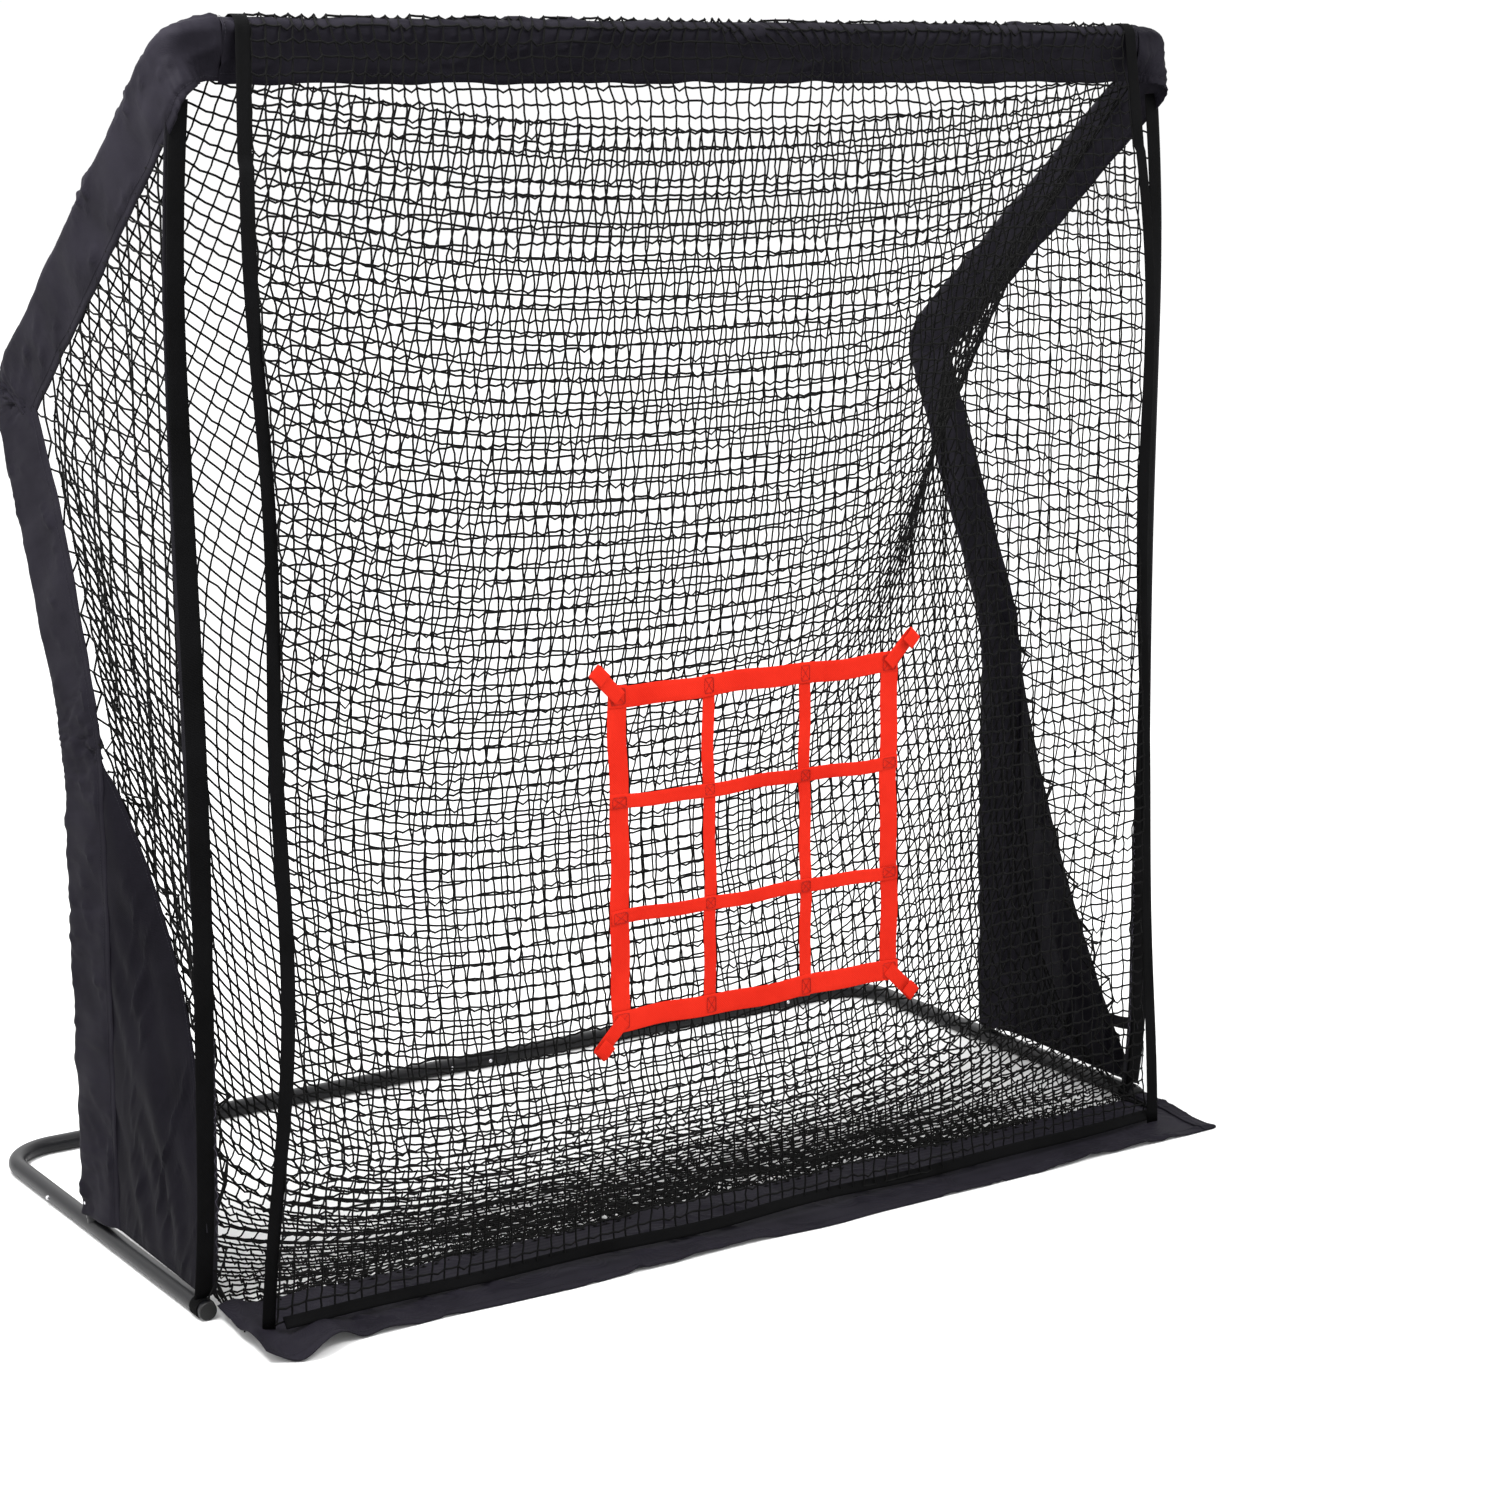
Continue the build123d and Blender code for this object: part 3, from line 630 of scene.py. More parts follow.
def cut_wide_mesh(polygon, ys, zs, skew):
    """Knots (y, z), which of them are held, and four groups of twines, of a mesh cut to a polygon."""
    grid_y, grid_z = np.meshgrid(ys, zs)
    rise = skew * (grid_y - ys[0])
    within = inside(polygon, grid_y, grid_z + rise)
    index = np.full((len(zs) + 1, len(ys) + 1), -1)
    index[:-1, :-1][within] = np.arange(within.sum())
    points = list(np.stack([grid_y, grid_z + rise], axis=-1)[within])
    pinned = [False] * len(points)
    groups = [[], [], [], []]
    for r in range(len(zs)):
        for c in range(len(ys)):
            for dr, dc, base in ((0, 1, 0), (1, 0, 2)):
                here, there = index[r, c], index[r + dr, c + dc]
                if here < 0 and there < 0:
                    continue
                group = groups[base + (r + c) % 2]
                if here >= 0 and there >= 0:
                    group.append((here, there))
                    continue
                solid = max(here, there)
                way = np.array([dc, dr]) * WIDE_MESH * (1 if here >= 0 else -1)
                way[1] += skew * way[0]
                end = crossing(polygon, points[solid], points[solid] + way)
                if np.linalg.norm(end - points[solid]) < 0.15 * WIDE_MESH:
                    pinned[solid] = True
                    continue
                points.append(end)
                pinned.append(True)
                group.append((solid, len(points) - 1))
    return np.array(points), np.array(pinned), [np.array(g) for g in groups]


def side_net(side, sx, material):
    """A wide-meshed side net, cut to the space between sleeve, gusset and front strap."""
    skew, ease = 0.10, 1.018  # rise of the rows towards the back, and spare length of a twine
    edge = gusset_edge(sx, 12)
    seam = seam_line(WEBS[sx])
    strap_y = TUBE_END_Y - 0.004
    top_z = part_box("side_net_right")[1].z
    low_z = edge[-1][1] - 0.03
    polygon = [tuple(p[:2]) for p in edge]
    polygon += [(strap_y, low_z), (strap_y, top_z), tuple(seam[2]), tuple(seam[1])]
    ys = np.arange(strap_y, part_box("back_net")[1].y + WIDE_MESH, WIDE_MESH)
    zs = np.arange(low_z, top_z + WIDE_MESH, WIDE_MESH)
    flat, pinned, groups = cut_wide_mesh(polygon, ys, zs, skew)
    rests = [np.linalg.norm(flat[g[:, 0]] - flat[g[:, 1]], axis=1) * ease for g in groups]

    def drawn_in(y, z):
        """How far the panel's edge draws the net inward: less and less towards the strap."""
        far_y, pull = edge_at(edge, z)
        return pull * clamp((y - strap_y) / (far_y - strap_y))

    def clear_panel(moved):
        """Keeps the net above the panel's edge and inside the plane that it is drawn to."""
        panel_z = np.interp(-moved[:, 1], -edge[:, 0], edge[:, 1], left=-1, right=-1)
        moved[:, 2] = np.where(pinned, moved[:, 2], np.maximum(moved[:, 2], panel_z + 0.006))
        limit = SIDE_X - 1.08 * drawn_in(moved[:, 1], moved[:, 2])
        moved[:, 0] = sx * np.minimum(np.abs(moved[:, 0]), limit)

    inward = drawn_in(*flat.T)
    three = xyz(sx * (SIDE_X - inward), *flat.T)
    net = Net(three, pinned, groups, rests)
    three[:, 0] -= sx * 0.006 * np.sin(three[:, 2] * 5 + three[:, 1] * 3) * ~pinned
    three[:, 0] -= sx * 0.12 * inward
    net.relax(120, 20, shape=clear_panel)
    piece = twine_piece(f"side_net_{side}_twine", net, material, 0.03, 5)
    area = abs(sum(a[0] * b[1] - b[0] * a[1] for a, b in zip(polygon, polygon[1:] + polygon[:1]))) / 2
    height = top_z - edge[-1][1]
    finish_piece(
        piece, "root", "twine", [f"side_net_{side}"], flat=(area / height, height), held="stretched",
        rests_on=[f"side_sleeve_{side}"], area=WIDE_SHARE * area,
    )


def curtain_line(count):
    """The front net's middle line (y, z), from behind the top bar, over it and down to the hem."""
    radius = SLEEVE_R + 0.0035
    turn = np.linspace(math.radians(-10), math.radians(170), 24)
    over = np.stack([BAR_Y + radius * np.cos(turn), BAR_Z + radius * np.sin(turn)], axis=1)
    top_y, top_z = over[-1]
    foot_y, foot_z = CURTAIN_Y - 0.040, (HEM_LOW.z + HEM_HIGH.z) / 2
    forward = 1 - (1 - clamp(np.linspace(0, 1, 60) / 0.5)) ** 2
    down = np.stack([top_y + (foot_y - top_y) * forward, np.linspace(top_z - 0.004, foot_z, 60)], axis=1)
    return resample(np.concatenate([over, down]), count)


def curtain_edge_x(z, sx):
    """Where the binding of the front net hangs at a height: nearly straight, gently swaying."""
    drawn_in = 0.022 * np.clip(z - 1.0, 0, None) if sx < 0 else 0.012 * np.clip(z, 0, None) ** 0.5
    sway = 0.010 * np.sin(z * 3.1 + sx) + 0.006 * np.sin(z * 7.3 + 2 * sx)
    if sx < 0:
        sway = sway - 0.022 * clamp(1 - z / 0.9) ** 2
    return sx * (CURTAIN_HALF - BINDING - drawn_in) + sway


def front_net(material):
    """The front net, over the top bar and down to its hem. Returns its grid of knots."""
    slack, halves = 1.012, 2
    line = curtain_line(400)
    length = line_length(line)
    half = CURTAIN_HALF - BINDING
    rows = int(length / FINE_MESH) + 1
    columns = int(2 * half * slack / FINE_MESH) + 1
    line_y, line_z = resample(line, rows).T[..., None]
    share = np.linspace(-1, 1, columns)[None]
    left, right = curtain_edge_x(line_z, -1), curtain_edge_x(line_z, 1)
    x = (left + right) / 2 + (right - left) / 2 * share
    fall = clamp((BAR_Z - line_z) / BAR_Z)
    bow = (1 - share**2) * fall
    y = line_y - 0.012 * bow + 0.005 * noise(x, line_z, 0.8, 11, 2) * fall
    sag = 0.012 * (1 - share**2) * np.sin(fall * math.pi)
    z = line_z - sag + 0.003 * noise(x, line_z, 0.3, 12, 2) * (fall > 0.02)
    bunch = np.exp(-(((line_z - BAR_Z) / 0.06) ** 2))
    x += (0.003 + 0.006 * bunch) * noise(x, z * 2, 0.25, 13, 3)
    x += 0.020 * (z - BAR_Z) / SLEEVE_R * bunch * noise(x, z * 0, 0.9, 15, 2)
    z += 0.004 * bunch * (fall > 0) * noise(x, z, 0.1, 14, 3)
    points = xyz(x, y, z)
    points[..., 0::2] += np.random.default_rng(4).normal(0, TWINE_SWAY, (rows, columns, 2))
    pinned = np.ones((rows, columns), bool)
    net = grid_net(points, pinned, 2 * half * slack / (columns - 1), length / (rows - 1))
    column_of = np.arange(rows * columns) % columns
    flat = (half * 2 * slack / halves, length)
    for number in range(halves):
        strip = (column_of, columns * number // halves, columns * (number + 1) // halves)
        piece = twine_piece(f"front_net_twine_{number + 1}", net, material, 0.05, number + 9, strip)
        replaced = ["front_net", "front_net_wrap"] if number == 0 else ["front_net"]
        hang_curtain(piece, "twine", replaced, flat=flat, area=NET_SHARE * flat[0] * flat[1])
    return points


def hang_curtain(piece, slot, replaced, **sheet):
    """The piece hangs from the top bar; its placing is baked into its mesh, in place of CAD nodes."""
    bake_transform(piece)
    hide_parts(*replaced)


# ---- webbing ----
def ribbon(name, line, side_way, width, thickness, material, twist=None):
    """Flat webbing along a line of points. side_way is its width direction at each point."""
    line = np.asarray(line, float)
    along = units(np.gradient(line, axis=0))
    way = np.broadcast_to(np.asarray(side_way, float), line.shape)
    way = units(way - along * (way * along).sum(1, keepdims=True))
    out = np.cross(along, way)
    if twist is not None:
        cos, sin = np.cos(twist)[:, None], np.sin(twist)[:, None]
        way, out = way * cos + out * sin, out * cos - way * sin
    across = np.array([-0.5, -0.46, -0.25, 0, 0.25, 0.46, 0.5]) * width
    depth = np.array([0.15, 0.5, 0.5, 0.5, 0.5, 0.5, 0.15]) * thickness
    section = np.concatenate([np.stack([across, depth], 1), np.stack([across[::-1], -depth], 1)])
    points = line[:, None] + way[:, None] * section[None, :, :1] + out[:, None] * section[None, :, 1:]
    n = len(section)
    i = np.arange(n // 2 - 1)
    cap = np.stack([i, i + 1, n - 2 - i, n - 1 - i], axis=1)
    faces = [grid_faces(len(line), n, wrap=True), cap[:, ::-1], cap + (len(line) - 1) * n]
    return make_mesh(name, points, faces, material)


def band(name, line, side_way, width, thickness, material, place, held, rests_on, twist=None, length=None):
    """Webbing, put on its body. place is its body, its slot and the CAD nodes it stands for."""
    piece = ribbon(name, line, side_way, width, thickness, material, twist)
    flat = (width, length or line_length(line))
    finish_piece(piece, *place, flat=flat, held=held, rests_on=rests_on)


def curtain_bindings(material):
    """Webbing down both edges of the front net, over the top bar, and the hem along its foot."""
    thick, free_below = 0.0022, 1.9  # the webbing lies still over the bar and sways below
    line = curtain_line(220)
    for side, sx in SIDES:
        x = curtain_edge_x(line[:, 1], sx) + sx * BINDING / 2
        points = xyz(x, line[:, 0] - 0.001, line[:, 1])
        points[:, 1] -= 0.010 * np.sin(points[:, 2] * 4.2 + sx) * (points[:, 2] < free_below)
        points[-1, 2] = HEM_LOW.z
        twist = 0.10 * np.sin(points[:, 2] * 5.0 + 2 * sx) * (points[:, 2] < free_below)
        piece = ribbon(f"front_binding_{side}", points, (1, 0, 0), BINDING, thick, material, twist)
        flat = (BINDING, line_length(points))
        hang_curtain(piece, "webbing", [f"front_net_binding_{side}"], flat=flat)
    share = np.linspace(-1, 1, 120)
    x = share * CURTAIN_HALF
    y = curtain_line(50)[-1][0] - 0.012 * (1 - share**2) - 0.004 + 0.004 * np.sin(x * 9)
    points = xyz(x, y, (HEM_LOW.z + HEM_HIGH.z) / 2 + 0.002 * np.sin(x * 14))
    side_way = xyz(0, 0.75 + 0.3 * np.sin(x * 7 + 1), 1)
    band("front_hem", points, side_way, 0.022, 0.0045, material, ("curtain", "webbing", ["front_net_hem"]),
         "hung", ["ground_flap"])


def front_straps(material, lining, lacing):
    """The main net's front edges: webbing with a cloth lining, from the top corners to the tube ends."""
    loop_low, loop_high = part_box("strap_loops")
    for side, sx in SIDES:
        low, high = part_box(f"front_strap_{side}")
        rests_on = [f"side_sleeve_{side}"]
        width = 0.88 * (high.x - low.x)
        z = np.linspace(high.z, loop_high.z + 0.001, 140)
        x = sx * (SIDE_X - 0.004) + 0.006 * np.sin(z * 3.7 + sx)
        x = x - sx * 0.022 * clamp((z - 1.6) / 0.5) ** 2
        y = np.full_like(z, (low.y + high.y) / 2) - 0.004 + 0.008 * np.sin(z * 2.9 + 1)
        y += ((loop_low.y + loop_high.y) / 2 - y) * clamp(1 - z / 0.25) ** 2
        points = xyz(x, y, z)
        twist = 0.50 * np.sin(z * 2.6 + sx) * np.sin(z / high.z * math.pi)
        band(f"front_strap_{side}_band", points, (1, 0.1, 0), width, 0.0024, material,
             ("root", "webbing", [f"front_strap_{side}"]), "hung", rests_on, twist)
        back = points + np.array([sx * 0.006, 0.0035, 0])
        back[:, 0] -= sx * 0.018 * clamp(1 - z / 0.75) ** 0.5
        band(f"front_strap_{side}_lining", back, (1, 0.1, 0), width * 0.92, 0.001, lining,
             ("root", "cloth"), "hung", rests_on, twist * 0.8)
        turns, lowest, highest = 44, 0.10, 0.62
        zigzag = resample(back[(back[:, 2] > lowest) & (back[:, 2] < highest)], turns)
        zigzag[:, 0] += -sx * 0.46 * width + sx * 0.008 * (np.arange(turns) % 2)
        zigzag[:, 1] -= 0.0016
        stitches(f"front_strap_{side}_lacing", [zigzag], lacing, 0.009, 0.0004, 0.0005)


# ---- sleeves ----
def sleeve_section(web):
    """A drop-shaped loop (inward, sideways): round over the tube, flat towards the seam and its flange."""
    radius = SLEEVE_R - 0.0015
    seam_half = 0.0012
    touch = math.acos(radius / web)
    turn = np.linspace(touch, math.tau - touch, 34)
    arc = np.stack([np.cos(turn), np.sin(turn)], 1) * radius
    reach = np.linspace(0, 1, 15)[1:]
    upper = arc[0] + (np.array([web, seam_half]) - arc[0]) * reach[:, None]
    lower = arc[-1] + (np.array([web, -seam_half]) - arc[-1]) * reach[:, None]
    tip = np.array([[web + FLANGE, 0.0009], [web + FLANGE, -0.0009]])
    return np.concatenate([upper[::-1], arc, lower, tip[::-1]])


def cloth_folds(s, v, seed):
    """Drag lines in stretched cloth: narrow ridges in patches, between calm places."""
    ridges = noise(s + 0.6 * v, v * 0.8, 0.07, seed, 3)
    patches = clamp(noise(s * 0.5, v, 0.2, seed + 1, 2) + 0.35)
    return clamp(ridges) ** 1.4 * patches


def sleeve(name, path, inward, webs, bends, puffs, seed, material):
    """A cloth sleeve along a path, with soft folds, and gathers at each bend.

    Returns the piece, its girth, its length and its two seams.
    """
    count = len(path)
    along = np.gradient(path, axis=0)
    at = np.cumsum(np.linalg.norm(along, axis=1))
    along = units(along)
    inward = units(inward - along * (inward * along).sum(1, keepdims=True))
    sideways = np.cross(along, inward)
    web = float(np.max(webs))
    section = sleeve_section(web)
    n = len(section)
    s, around = np.meshgrid(at, np.arange(n) / n, indexing="ij")
    reach, lift = (np.broadcast_to(column, (count, n)) for column in section.T)
    flatness = clamp(reach / web)
    free = 4 * flatness * (1 - flatness)
    near = np.zeros(count)
    for place in bends:
        middle_at = at[np.argmin(np.linalg.norm(path - place, axis=1))]
        strength = 0.25 if place[1] < AXIS[0][0] and place[2] > AXIS[2][1] else 1.0
        near = np.maximum(near, strength * np.exp(-(((at - middle_at) / 0.07) ** 2)))
    near = near[:, None]
    slow = noise(s, reach * 1.3, 0.22, seed, 2)
    rough = noise(s, reach * 0.6, 0.045, seed + 5, 3)
    sway = 0.0055 * slow * free + 0.006 * near * free * rough
    creases = clamp(np.sin(s * 150 + 5 * rough + 20 * reach))
    creases = creases * (0.4 + 0.6 * clamp(rough + 0.5))
    puff = 0.0022 * noise(s, around * 0.3, 0.2, seed + 2, 3)
    puff = puff + 0.0060 * cloth_folds(s, lift * 3 + reach, seed + 6)
    puff = puff + 0.008 * near * creases * (0.4 + 0.6 * flatness)
    swell = clamp(noise(s, around * 0.1, 0.09, seed + 7, 4) + 0.2)
    puff = puff + 0.0035 * puffs[:, None] * swell
    normal = units(section)
    flat_part = section[:, 0] > 0.004
    nx = np.where(flat_part, 0.15, normal[:, 0])
    ny = np.where(flat_part, np.sign(section[:, 1]), normal[:, 1])
    taper = np.where(reach > web * 0.93, 0.1, 1.0)
    seam = flatness > 0.9
    a = reach * (1 + (webs[:, None] / web - 1) * flatness) + puff * nx * taper
    a = a + 0.0022 * seam * noise(s, s * 0, 0.16, seed + 4, 2) + 0.004 * near * seam * rough
    b = lift + puff * ny * taper + sway
    points = path[:, None] + inward[:, None] * a[..., None] + sideways[:, None] * b[..., None]
    piece = make_mesh(name, points, [grid_faces(count, n, wrap=True)], material)
    solidify(piece, 0.0006)
    seams = [points[:, column] + sideways * way * 0.0008 for column, way in ((1, 1), (n - 4, -1))]
    return piece, line_length(np.vstack([section, section[:1]])), float(at[-1]), seams


def stitches(name, lines, material, length=0.0035, gap=0.0022, radius=0.00045, body="root", slot="cloth"):
    """Rows of thread stitches along lines of points."""
    paths = []
    for line in lines:
        count = max(int(line_length(line) / (length + gap)), 1)
        first = np.arange(count) * (length + gap) + gap / 2
        paths.append(np.stack([walk(line, first), walk(line, first + length)], axis=1))
    points, quads = tube_rings(np.concatenate(paths), radius, 4)
    finish_piece(make_mesh(name, points, [quads], material), body, slot)


def widening(z):
    """How far the sleeve between knee and elbow spreads beyond its seam line."""
    return 0.022 * np.exp(-(((z - (AXIS[1][1] + AXIS[2][1]) / 2) / 0.22) ** 2))


def side_path(sx, count):
    """The axis of a side sleeve, with its inward directions, from the foot to the top sleeve."""
    corners = [np.array([sx * SIDE_X, y, z]) for y, z in AXIS]
    path = rounded(corners + [np.array([sx * SEAM_X, BAR_Y, BAR_Z])], [0.065] * 3, count)
    along = np.gradient(path, axis=0)
    over = clamp(np.abs(along[:, 0]) / np.linalg.norm(along, axis=1))[:, None]
    flat = units(xyz(0, -along[:, 2], along[:, 1]))
    arm_in = flat[int(count * 0.8)]
    blended = arm_in * (1 - over) + np.array([0, 0, -1.0]) * over
    inward = np.where(over < 0.02, flat, blended)
    webs = WEBS[sx] + widening(path[:, 2]) * (sx < 0)
    return path, inward, webs + (TOP_WEB - webs) * over[:, 0] ** 0.7


def sleeves(material, thread):
    """Both side sleeves and the top sleeve, with their rows of stitches."""
    rows = []
    for side, sx in SIDES:
        path, inward, webs = side_path(sx, 760)
        bends = [np.array([sx * SIDE_X, y, z]) for y, z in AXIS[1:4]]
        puffs = np.clip((AXIS[1][1] - path[:, 2]) / 0.1, 0.25, 1)
        piece, girth, length, seams = sleeve(
            f"sleeve_{side}", path, inward, webs, bends, puffs, 20 + 3 * sx, material
        )
        finish_piece(piece, "root", "cloth", [f"side_sleeve_{side}"],
                     flat=(girth, length), held="stretched", rests_on=[f"arm_tube_{side}"])
        turn = np.linspace(0, math.tau, 40)
        ring = path[-1] + SLEEVE_R * xyz(0, np.cos(turn), np.sin(turn)) * 1.06
        rows += seams + [ring - np.array([sx * 0.004, 0, 0])]
    count = 520
    path = xyz(np.linspace(-SEAM_X, SEAM_X, count), BAR_Y, BAR_Z)
    down = np.tile([0.0, 0.0, -1.0], (count, 1))
    piece, girth, length, seams = sleeve(
        "sleeve_top", path, down, np.full(count, TOP_WEB), [], np.full(count, 0.2), 31, material
    )
    finish_piece(piece, "root", "cloth", ["top_sleeve"],
                 flat=(girth, length), held="stretched", rests_on=["top_bar_left", "top_bar_right"])
    stitches("sleeve_stitches", rows + seams, thread)


def gussets(material, thread):
    """The lower side panels, drawn inward along their free edges, with rows of stitches near their top and
    bottom edges.
    """
    rows_of_thread = []
    rows, columns = 170, 80
    share = np.linspace(0, 1, columns)
    rise = np.linspace(0, 1, rows)[:, None]
    for side, sx in SIDES:
        low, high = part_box(f"gusset_{side}")
        edge = gusset_edge(sx, 400)
        back_y, front_y = edge[0][0], edge[-1][0]
        back_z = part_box(f"side_sleeve_{side}")[0].z
        y = back_y + (front_y - back_y) * share
        top = np.interp(y, edge[::-1, 0], edge[::-1, 1])
        bottom = back_z + (low.z - back_z) * share
        z = bottom + (top - bottom) * rise
        folds = cloth_folds(z * 0.7 + y, y * 1.1, 40 + sx)
        soft = noise(y * 1.2 - z * 0.5, z * 0.6, 0.2, 44 + sx, 3)
        calm = (np.sin(share * math.pi) * np.sin(rise * math.pi)) ** 0.35
        x = sx * (SIDE_X - panel_pull(sx, y, z)) + sx * (0.010 * folds + 0.008 * soft) * calm
        points = xyz(x, y, z)
        width = back_y - front_y
        finish_piece(
            cloth_mesh(f"gusset_{side}_cloth", points, material), "root", "cloth", [f"gusset_{side}"],
            flat=(width, float(high.z - low.z)), held="hung", rests_on=[f"side_sleeve_{side}"],
            area=float(np.mean(top - bottom) * width),
        )
        for row in (-4, 4):
            rows_of_thread += [points[row] + np.array([away * 0.0009, 0, 0]) for away in (-1, 1)]
    stitches("gusset_stitches", rows_of_thread, thread)


def ground_flap(material, thread):
    """The cloth strip on the ground, crumpled at its left end, with a hem along its front and right edges."""
    columns, rows = 760, 90
    wide, deep = FLAP_HIGH.x - FLAP_LOW.x, FLAP_HIGH.y - FLAP_LOW.y
    x, y = np.meshgrid(
        np.linspace(FLAP_LOW.x, FLAP_HIGH.x, columns), np.linspace(FLAP_HIGH.y, FLAP_LOW.y, rows)
    )
    depth = (FLAP_HIGH.y - y) / deep
    from_left = x - FLAP_LOW.x
    left = clamp(1 - from_left / 0.30)
    ridge = cloth_folds(x * 0.8, y * 1.4, 52)
    broad = clamp(noise(x * 0.7, y * 1.2, 0.3, 57, 3))
    roll = np.sin(from_left * 42 + 2.2 * depth + noise(x, y, 0.2, 53, 2))
    heap = left**0.8 * (0.5 + 0.5 * roll) * (0.35 + 0.65 * depth)
    z = 0.0015 + 0.007 * ridge * (0.4 + depth) + 0.008 * broad + 0.034 * heap + 0.010 * (1 - depth) ** 2
    droop = 0.036 * np.exp(-(((from_left - 0.08) / 0.06) ** 2))
    y = y + depth * (0.008 * noise(x, y * 0, 0.6, 51, 3) - droop)
    x = x + left**1.5 * (0.034 - 0.014 * depth)
    points = xyz(x, y, z)
    finish_piece(cloth_mesh("flap_cloth", points, material), "root", "cloth", ["ground_flap"],
                 flat=(wide, deep), held="laid", rests_on=["floor_net"])
    for name, fold, lift, flat in (
        ("flap_hem_front", points[-11:], 0.0013, (wide, 10 / (rows - 1) * deep)),
        ("flap_hem_right", points[:, -12:], 0.0026, (deep, 11 / (columns - 1) * wide)),
    ):
        finish_piece(cloth_mesh(name, fold + np.array([0, 0, lift]), material), "root", "cloth",
                     flat=flat, held="laid", rests_on=["ground_flap"])
    lines = [points[row] + np.array([0, 0, 0.0022]) for row in (-10, -3)]
    lines += [points[:, column] + np.array([0, 0, 0.0036]) for column in (-11, -8, -3)]
    stitches("flap_stitches", lines, thread)


def strap_loops_and_ties(material, lining):
    """Webbing loops round the tube ends, and the short ties from front strap to lower side panel."""
    loop_low, loop_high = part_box("strap_loops")
    loop_y, width = (loop_low.y + loop_high.y) / 2, loop_high.y - loop_low.y
    tube_z = middle("base_rear_tube_right").z
    radius = loop_high.z - tube_z - 0.0004
    open_at = math.asin((tube_z - loop_low.z) / radius)
    turn = np.linspace(-open_at, math.pi + open_at, 60)
    tie_low, tie_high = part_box("tie_tabs")
    tie_z = (tie_low.z + tie_high.z) / 2
    t = np.linspace(0, 1, 30)
    for side, sx in SIDES:
        ring = xyz(sx * SIDE_X + radius * np.cos(turn), loop_y, tube_z + radius * np.sin(turn))
        band(f"strap_loop_{side}", ring, (0, 1, 0), width, 0.0014, material,
             ("root", "webbing", ["strap_loops"]), "folded", [f"base_side_tube_{side}"])
        edge_y, pull = edge_at(gusset_edge(sx, 200), tie_z)
        x = sx * (SIDE_X - 0.003 - (pull + 0.001) * t**1.3)
        y = TUBE_END_Y + (edge_y + 0.02 - TUBE_END_Y) * t
        line = xyz(x, y, tie_z - 0.006 * np.sin(t * math.pi))
        band(f"tie_{side}", line, (0, 0, 1), tie_high.z - tie_low.z, 0.0016, lining,
             ("root", "cloth", ["tie_tabs"]), "hung", [f"gusset_{side}"])


# ---- strike zone ----
def front_y(knots_of_net, z):
    """How far forward the middle of the front net is at a height."""
    rows, columns = knots_of_net.shape[:2]
    heights = knots_of_net[:, columns // 2, 2]
    order = np.argsort(heights)
    r = int(np.clip(np.interp(z, heights[order], order.astype(float)), 0, rows - 1))
    left, right = knots_of_net[r, 0, 0], knots_of_net[r, -1, 0]
    return knots_of_net[r, int(-left / (right - left) * (columns - 1)), 1]


def strike_zone(knots_of_net, material, thread):
    """Webbing sewn into nine pockets, held to the front net by a tab at each corner."""
    low, high = ZONE_LOW, ZONE_HIGH
    size = high.x - low.x
    centre_z = (low.z + high.z) / 2
    edge, web, thick = 0.038, 0.025, 0.0017
    inset, tab, fold_at, bend = 0.022, 0.115, 0.082, 0.028  # of a corner tab
    places = ((-(size - edge) / 2, edge), (-size / 6, web), (size / 6, web), ((size - edge) / 2, edge))
    step = np.linspace(-size / 2, size / 2, 90)
    ends = [front_y(knots_of_net, z) for z in (low.z, high.z)]

    def face_y(z):
        return np.interp(z, [low.z, high.z], ends)

    number = 0
    for kind, lift in (("vertical", 0.0045), ("horizontal", 0.0065)):
        for place, width in places:
            number += 1
            sway = 0.0016 * np.sin(step * 17 + number) + 0.0012 * np.sin(step * 41 + 2 * number)
            if kind == "vertical":
                x, z, way = place + sway, centre_z + step, (1, 0, 0)
            else:
                x, z, way = step, centre_z + place + sway, (0, 0, 1)
            y = face_y(z) - lift + 0.0008 * np.sin(step * 23 + number)
            band(f"zone_web_{number}", xyz(x, y, z), way, width, thick, material,
                 ("strike_zone", "zone_webbing", [f"target_{kind}_webs"]), "stretched", ["front_net"],
                 length=size)
    for number, (sx, sz) in enumerate(((-1, -1), (-1, 1), (1, -1), (1, 1)), 1):
        start = np.array([sx * (size / 2 - inset), 0, centre_z + sz * (size / 2 - inset)])
        way = np.array([sx, 0, sz]) / math.sqrt(2)
        t = np.linspace(0, tab, 60)
        points = start + way * np.where(t < fold_at, t, 2 * fold_at - t)[:, None]
        turn = clamp((t - fold_at) / bend + 0.5)
        points[:, 1] = face_y(points[:, 2]) - 0.0095 - 0.010 * (1 - np.cos(turn * math.pi)) / 2
        points = rounded(list(points[::4]) + [points[-1]], [0.003] * 15, 60)
        band(f"zone_tab_{number}", points, np.array([-way[2], 0, way[0]]), 0.027, 0.0016, material,
             ("strike_zone", "zone_webbing", ["target_corner_tabs"]), "folded", ["front_net"])
    boxes = []
    corners = np.array([(-1, -1), (1, -1), (1, 1), (-1, 1), (-1, -1), (1, 1), (1, -1), (-1, 1)]) * 0.36
    for px, wx in places:
        for pz, wz in places:
            line = resample([(px + a * wx, 0, centre_z + pz + b * wz) for a, b in corners], 60)
            line[:, 1] = face_y(line[:, 2]) - 0.0082
            boxes.append(line)
    stitches("zone_stitches", boxes, thread, 0.0034, 0.0016, 0.0007, "strike_zone", "zone_webbing")


# ---- build ----
add_camera()
add_stage()

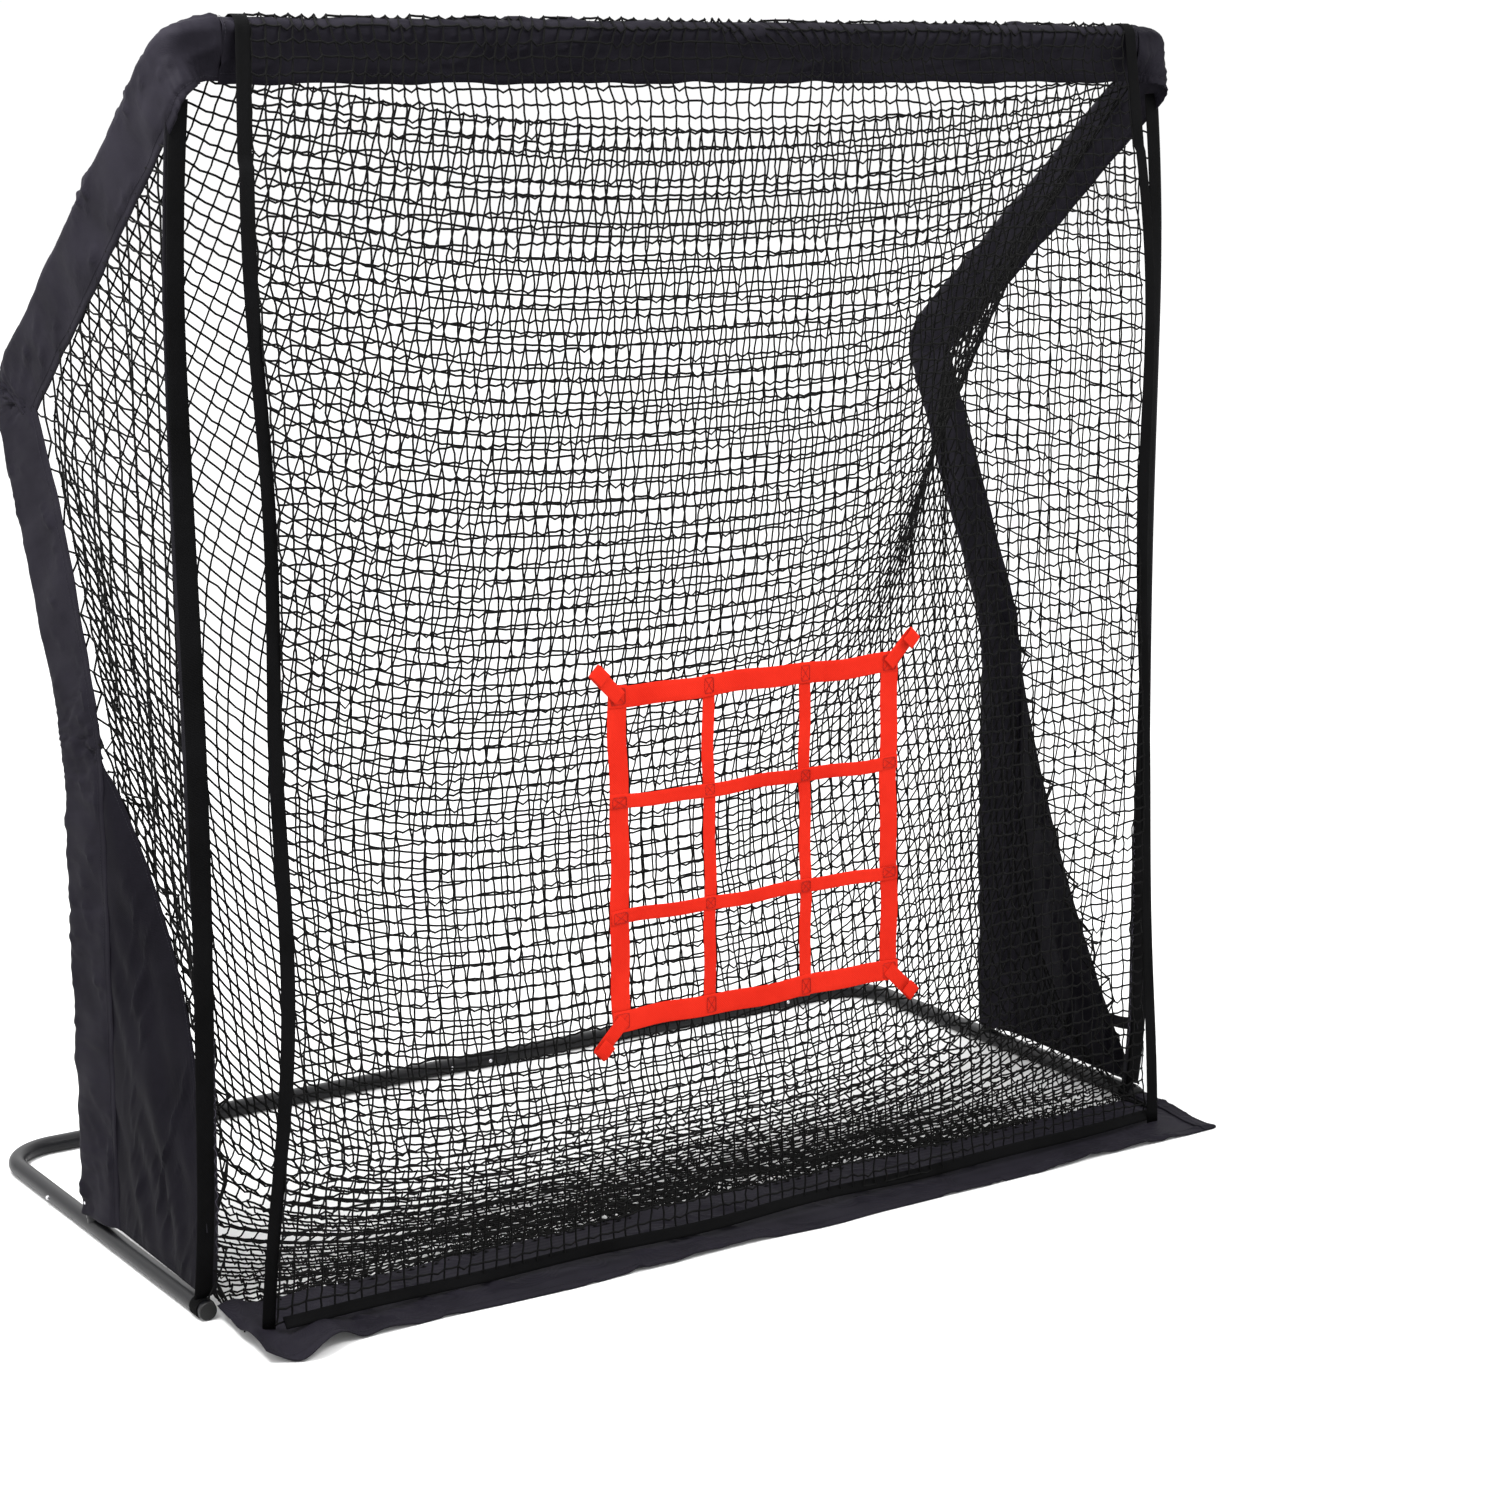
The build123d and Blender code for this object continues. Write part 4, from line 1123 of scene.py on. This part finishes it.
cloth = woven("oxford_cloth", (0.0048, 0.0043, 0.0064), (0.0108, 0.0098, 0.0138), 0.0009, 0.35, 0.6, 0.004)
# the same oxford cloth, painted darker: painted shade for the lower side panels, which lie in less light than
# the sleeves
panel = woven("oxford_cloth_painted_shade", (0.0026, 0.0023, 0.0036), (0.006, 0.0054, 0.008), 0.0009, 0.35, 0.6, 0.002)
lining = woven("lining_cloth", (0.007, 0.0065, 0.008), (0.013, 0.0125, 0.015), 0.0009, 0.3, 0.8, 0.015)
webbing = woven("black_webbing", (0.0015, 0.0015, 0.0015), (0.0035, 0.0035, 0.0038), 0.0012, 0.5, 0.85, 0)
red = woven("zone_webbing", (0.40, 0.0105, 0.0045), (0.50, 0.018, 0.008), 0.0012, 0.5, 0.75, 0)
red_thread = coated("zone_thread", (0.25, 0.006, 0.003), (0.32, 0.012, 0.006), 0.8, 0, 400)
dark_thread = coated("sleeve_thread", (0.012, 0.011, 0.016), (0.02, 0.018, 0.026), 0.8, 0, 400)
lacing_thread = coated("lacing_thread", (0.06, 0.055, 0.075), (0.10, 0.095, 0.12), 0.8, 0, 400)
twine = twine_material("twine", (0.0012, 0.0012, 0.0012), (0.005, 0.005, 0.005))
steel = coated("powder_coat", (0.004, 0.004, 0.005), (0.010, 0.010, 0.012), 0.36, 0, 900)
plated = coated("plated_steel", (0.55, 0.55, 0.57), (0.7, 0.7, 0.72), 0.25, 1, 500)
plastic = coated("cap_plastic", (0.010, 0.010, 0.010), (0.02, 0.02, 0.02), 0.55, 0, 700)
by_slot = {
    "steel": steel, "button": plated, "spring_steel": plated, "cap": plastic, "cloth": cloth,
    "twine": twine, "webbing": webbing, "zone_webbing": red,
}
for part in frame["record"]["subparts"]:
    node_object = frame["nodes"][part["node"]]
    node_object.data.materials.clear()
    node_object.data.materials.append(by_slot[part["material_slot"]])

main_net(twine)
for side, sx in SIDES:
    side_net(side, sx, twine)
knots_of_net = front_net(twine)
curtain_bindings(webbing)
front_straps(webbing, lining, lacing_thread)
sleeves(cloth, dark_thread)
# the lower side panels get the darker copy of the oxford cloth, which is painted shade
gussets(panel, dark_thread)
ground_flap(cloth, dark_thread)
strap_loops_and_ties(webbing, lining)
strike_zone(knots_of_net, red, red_thread)
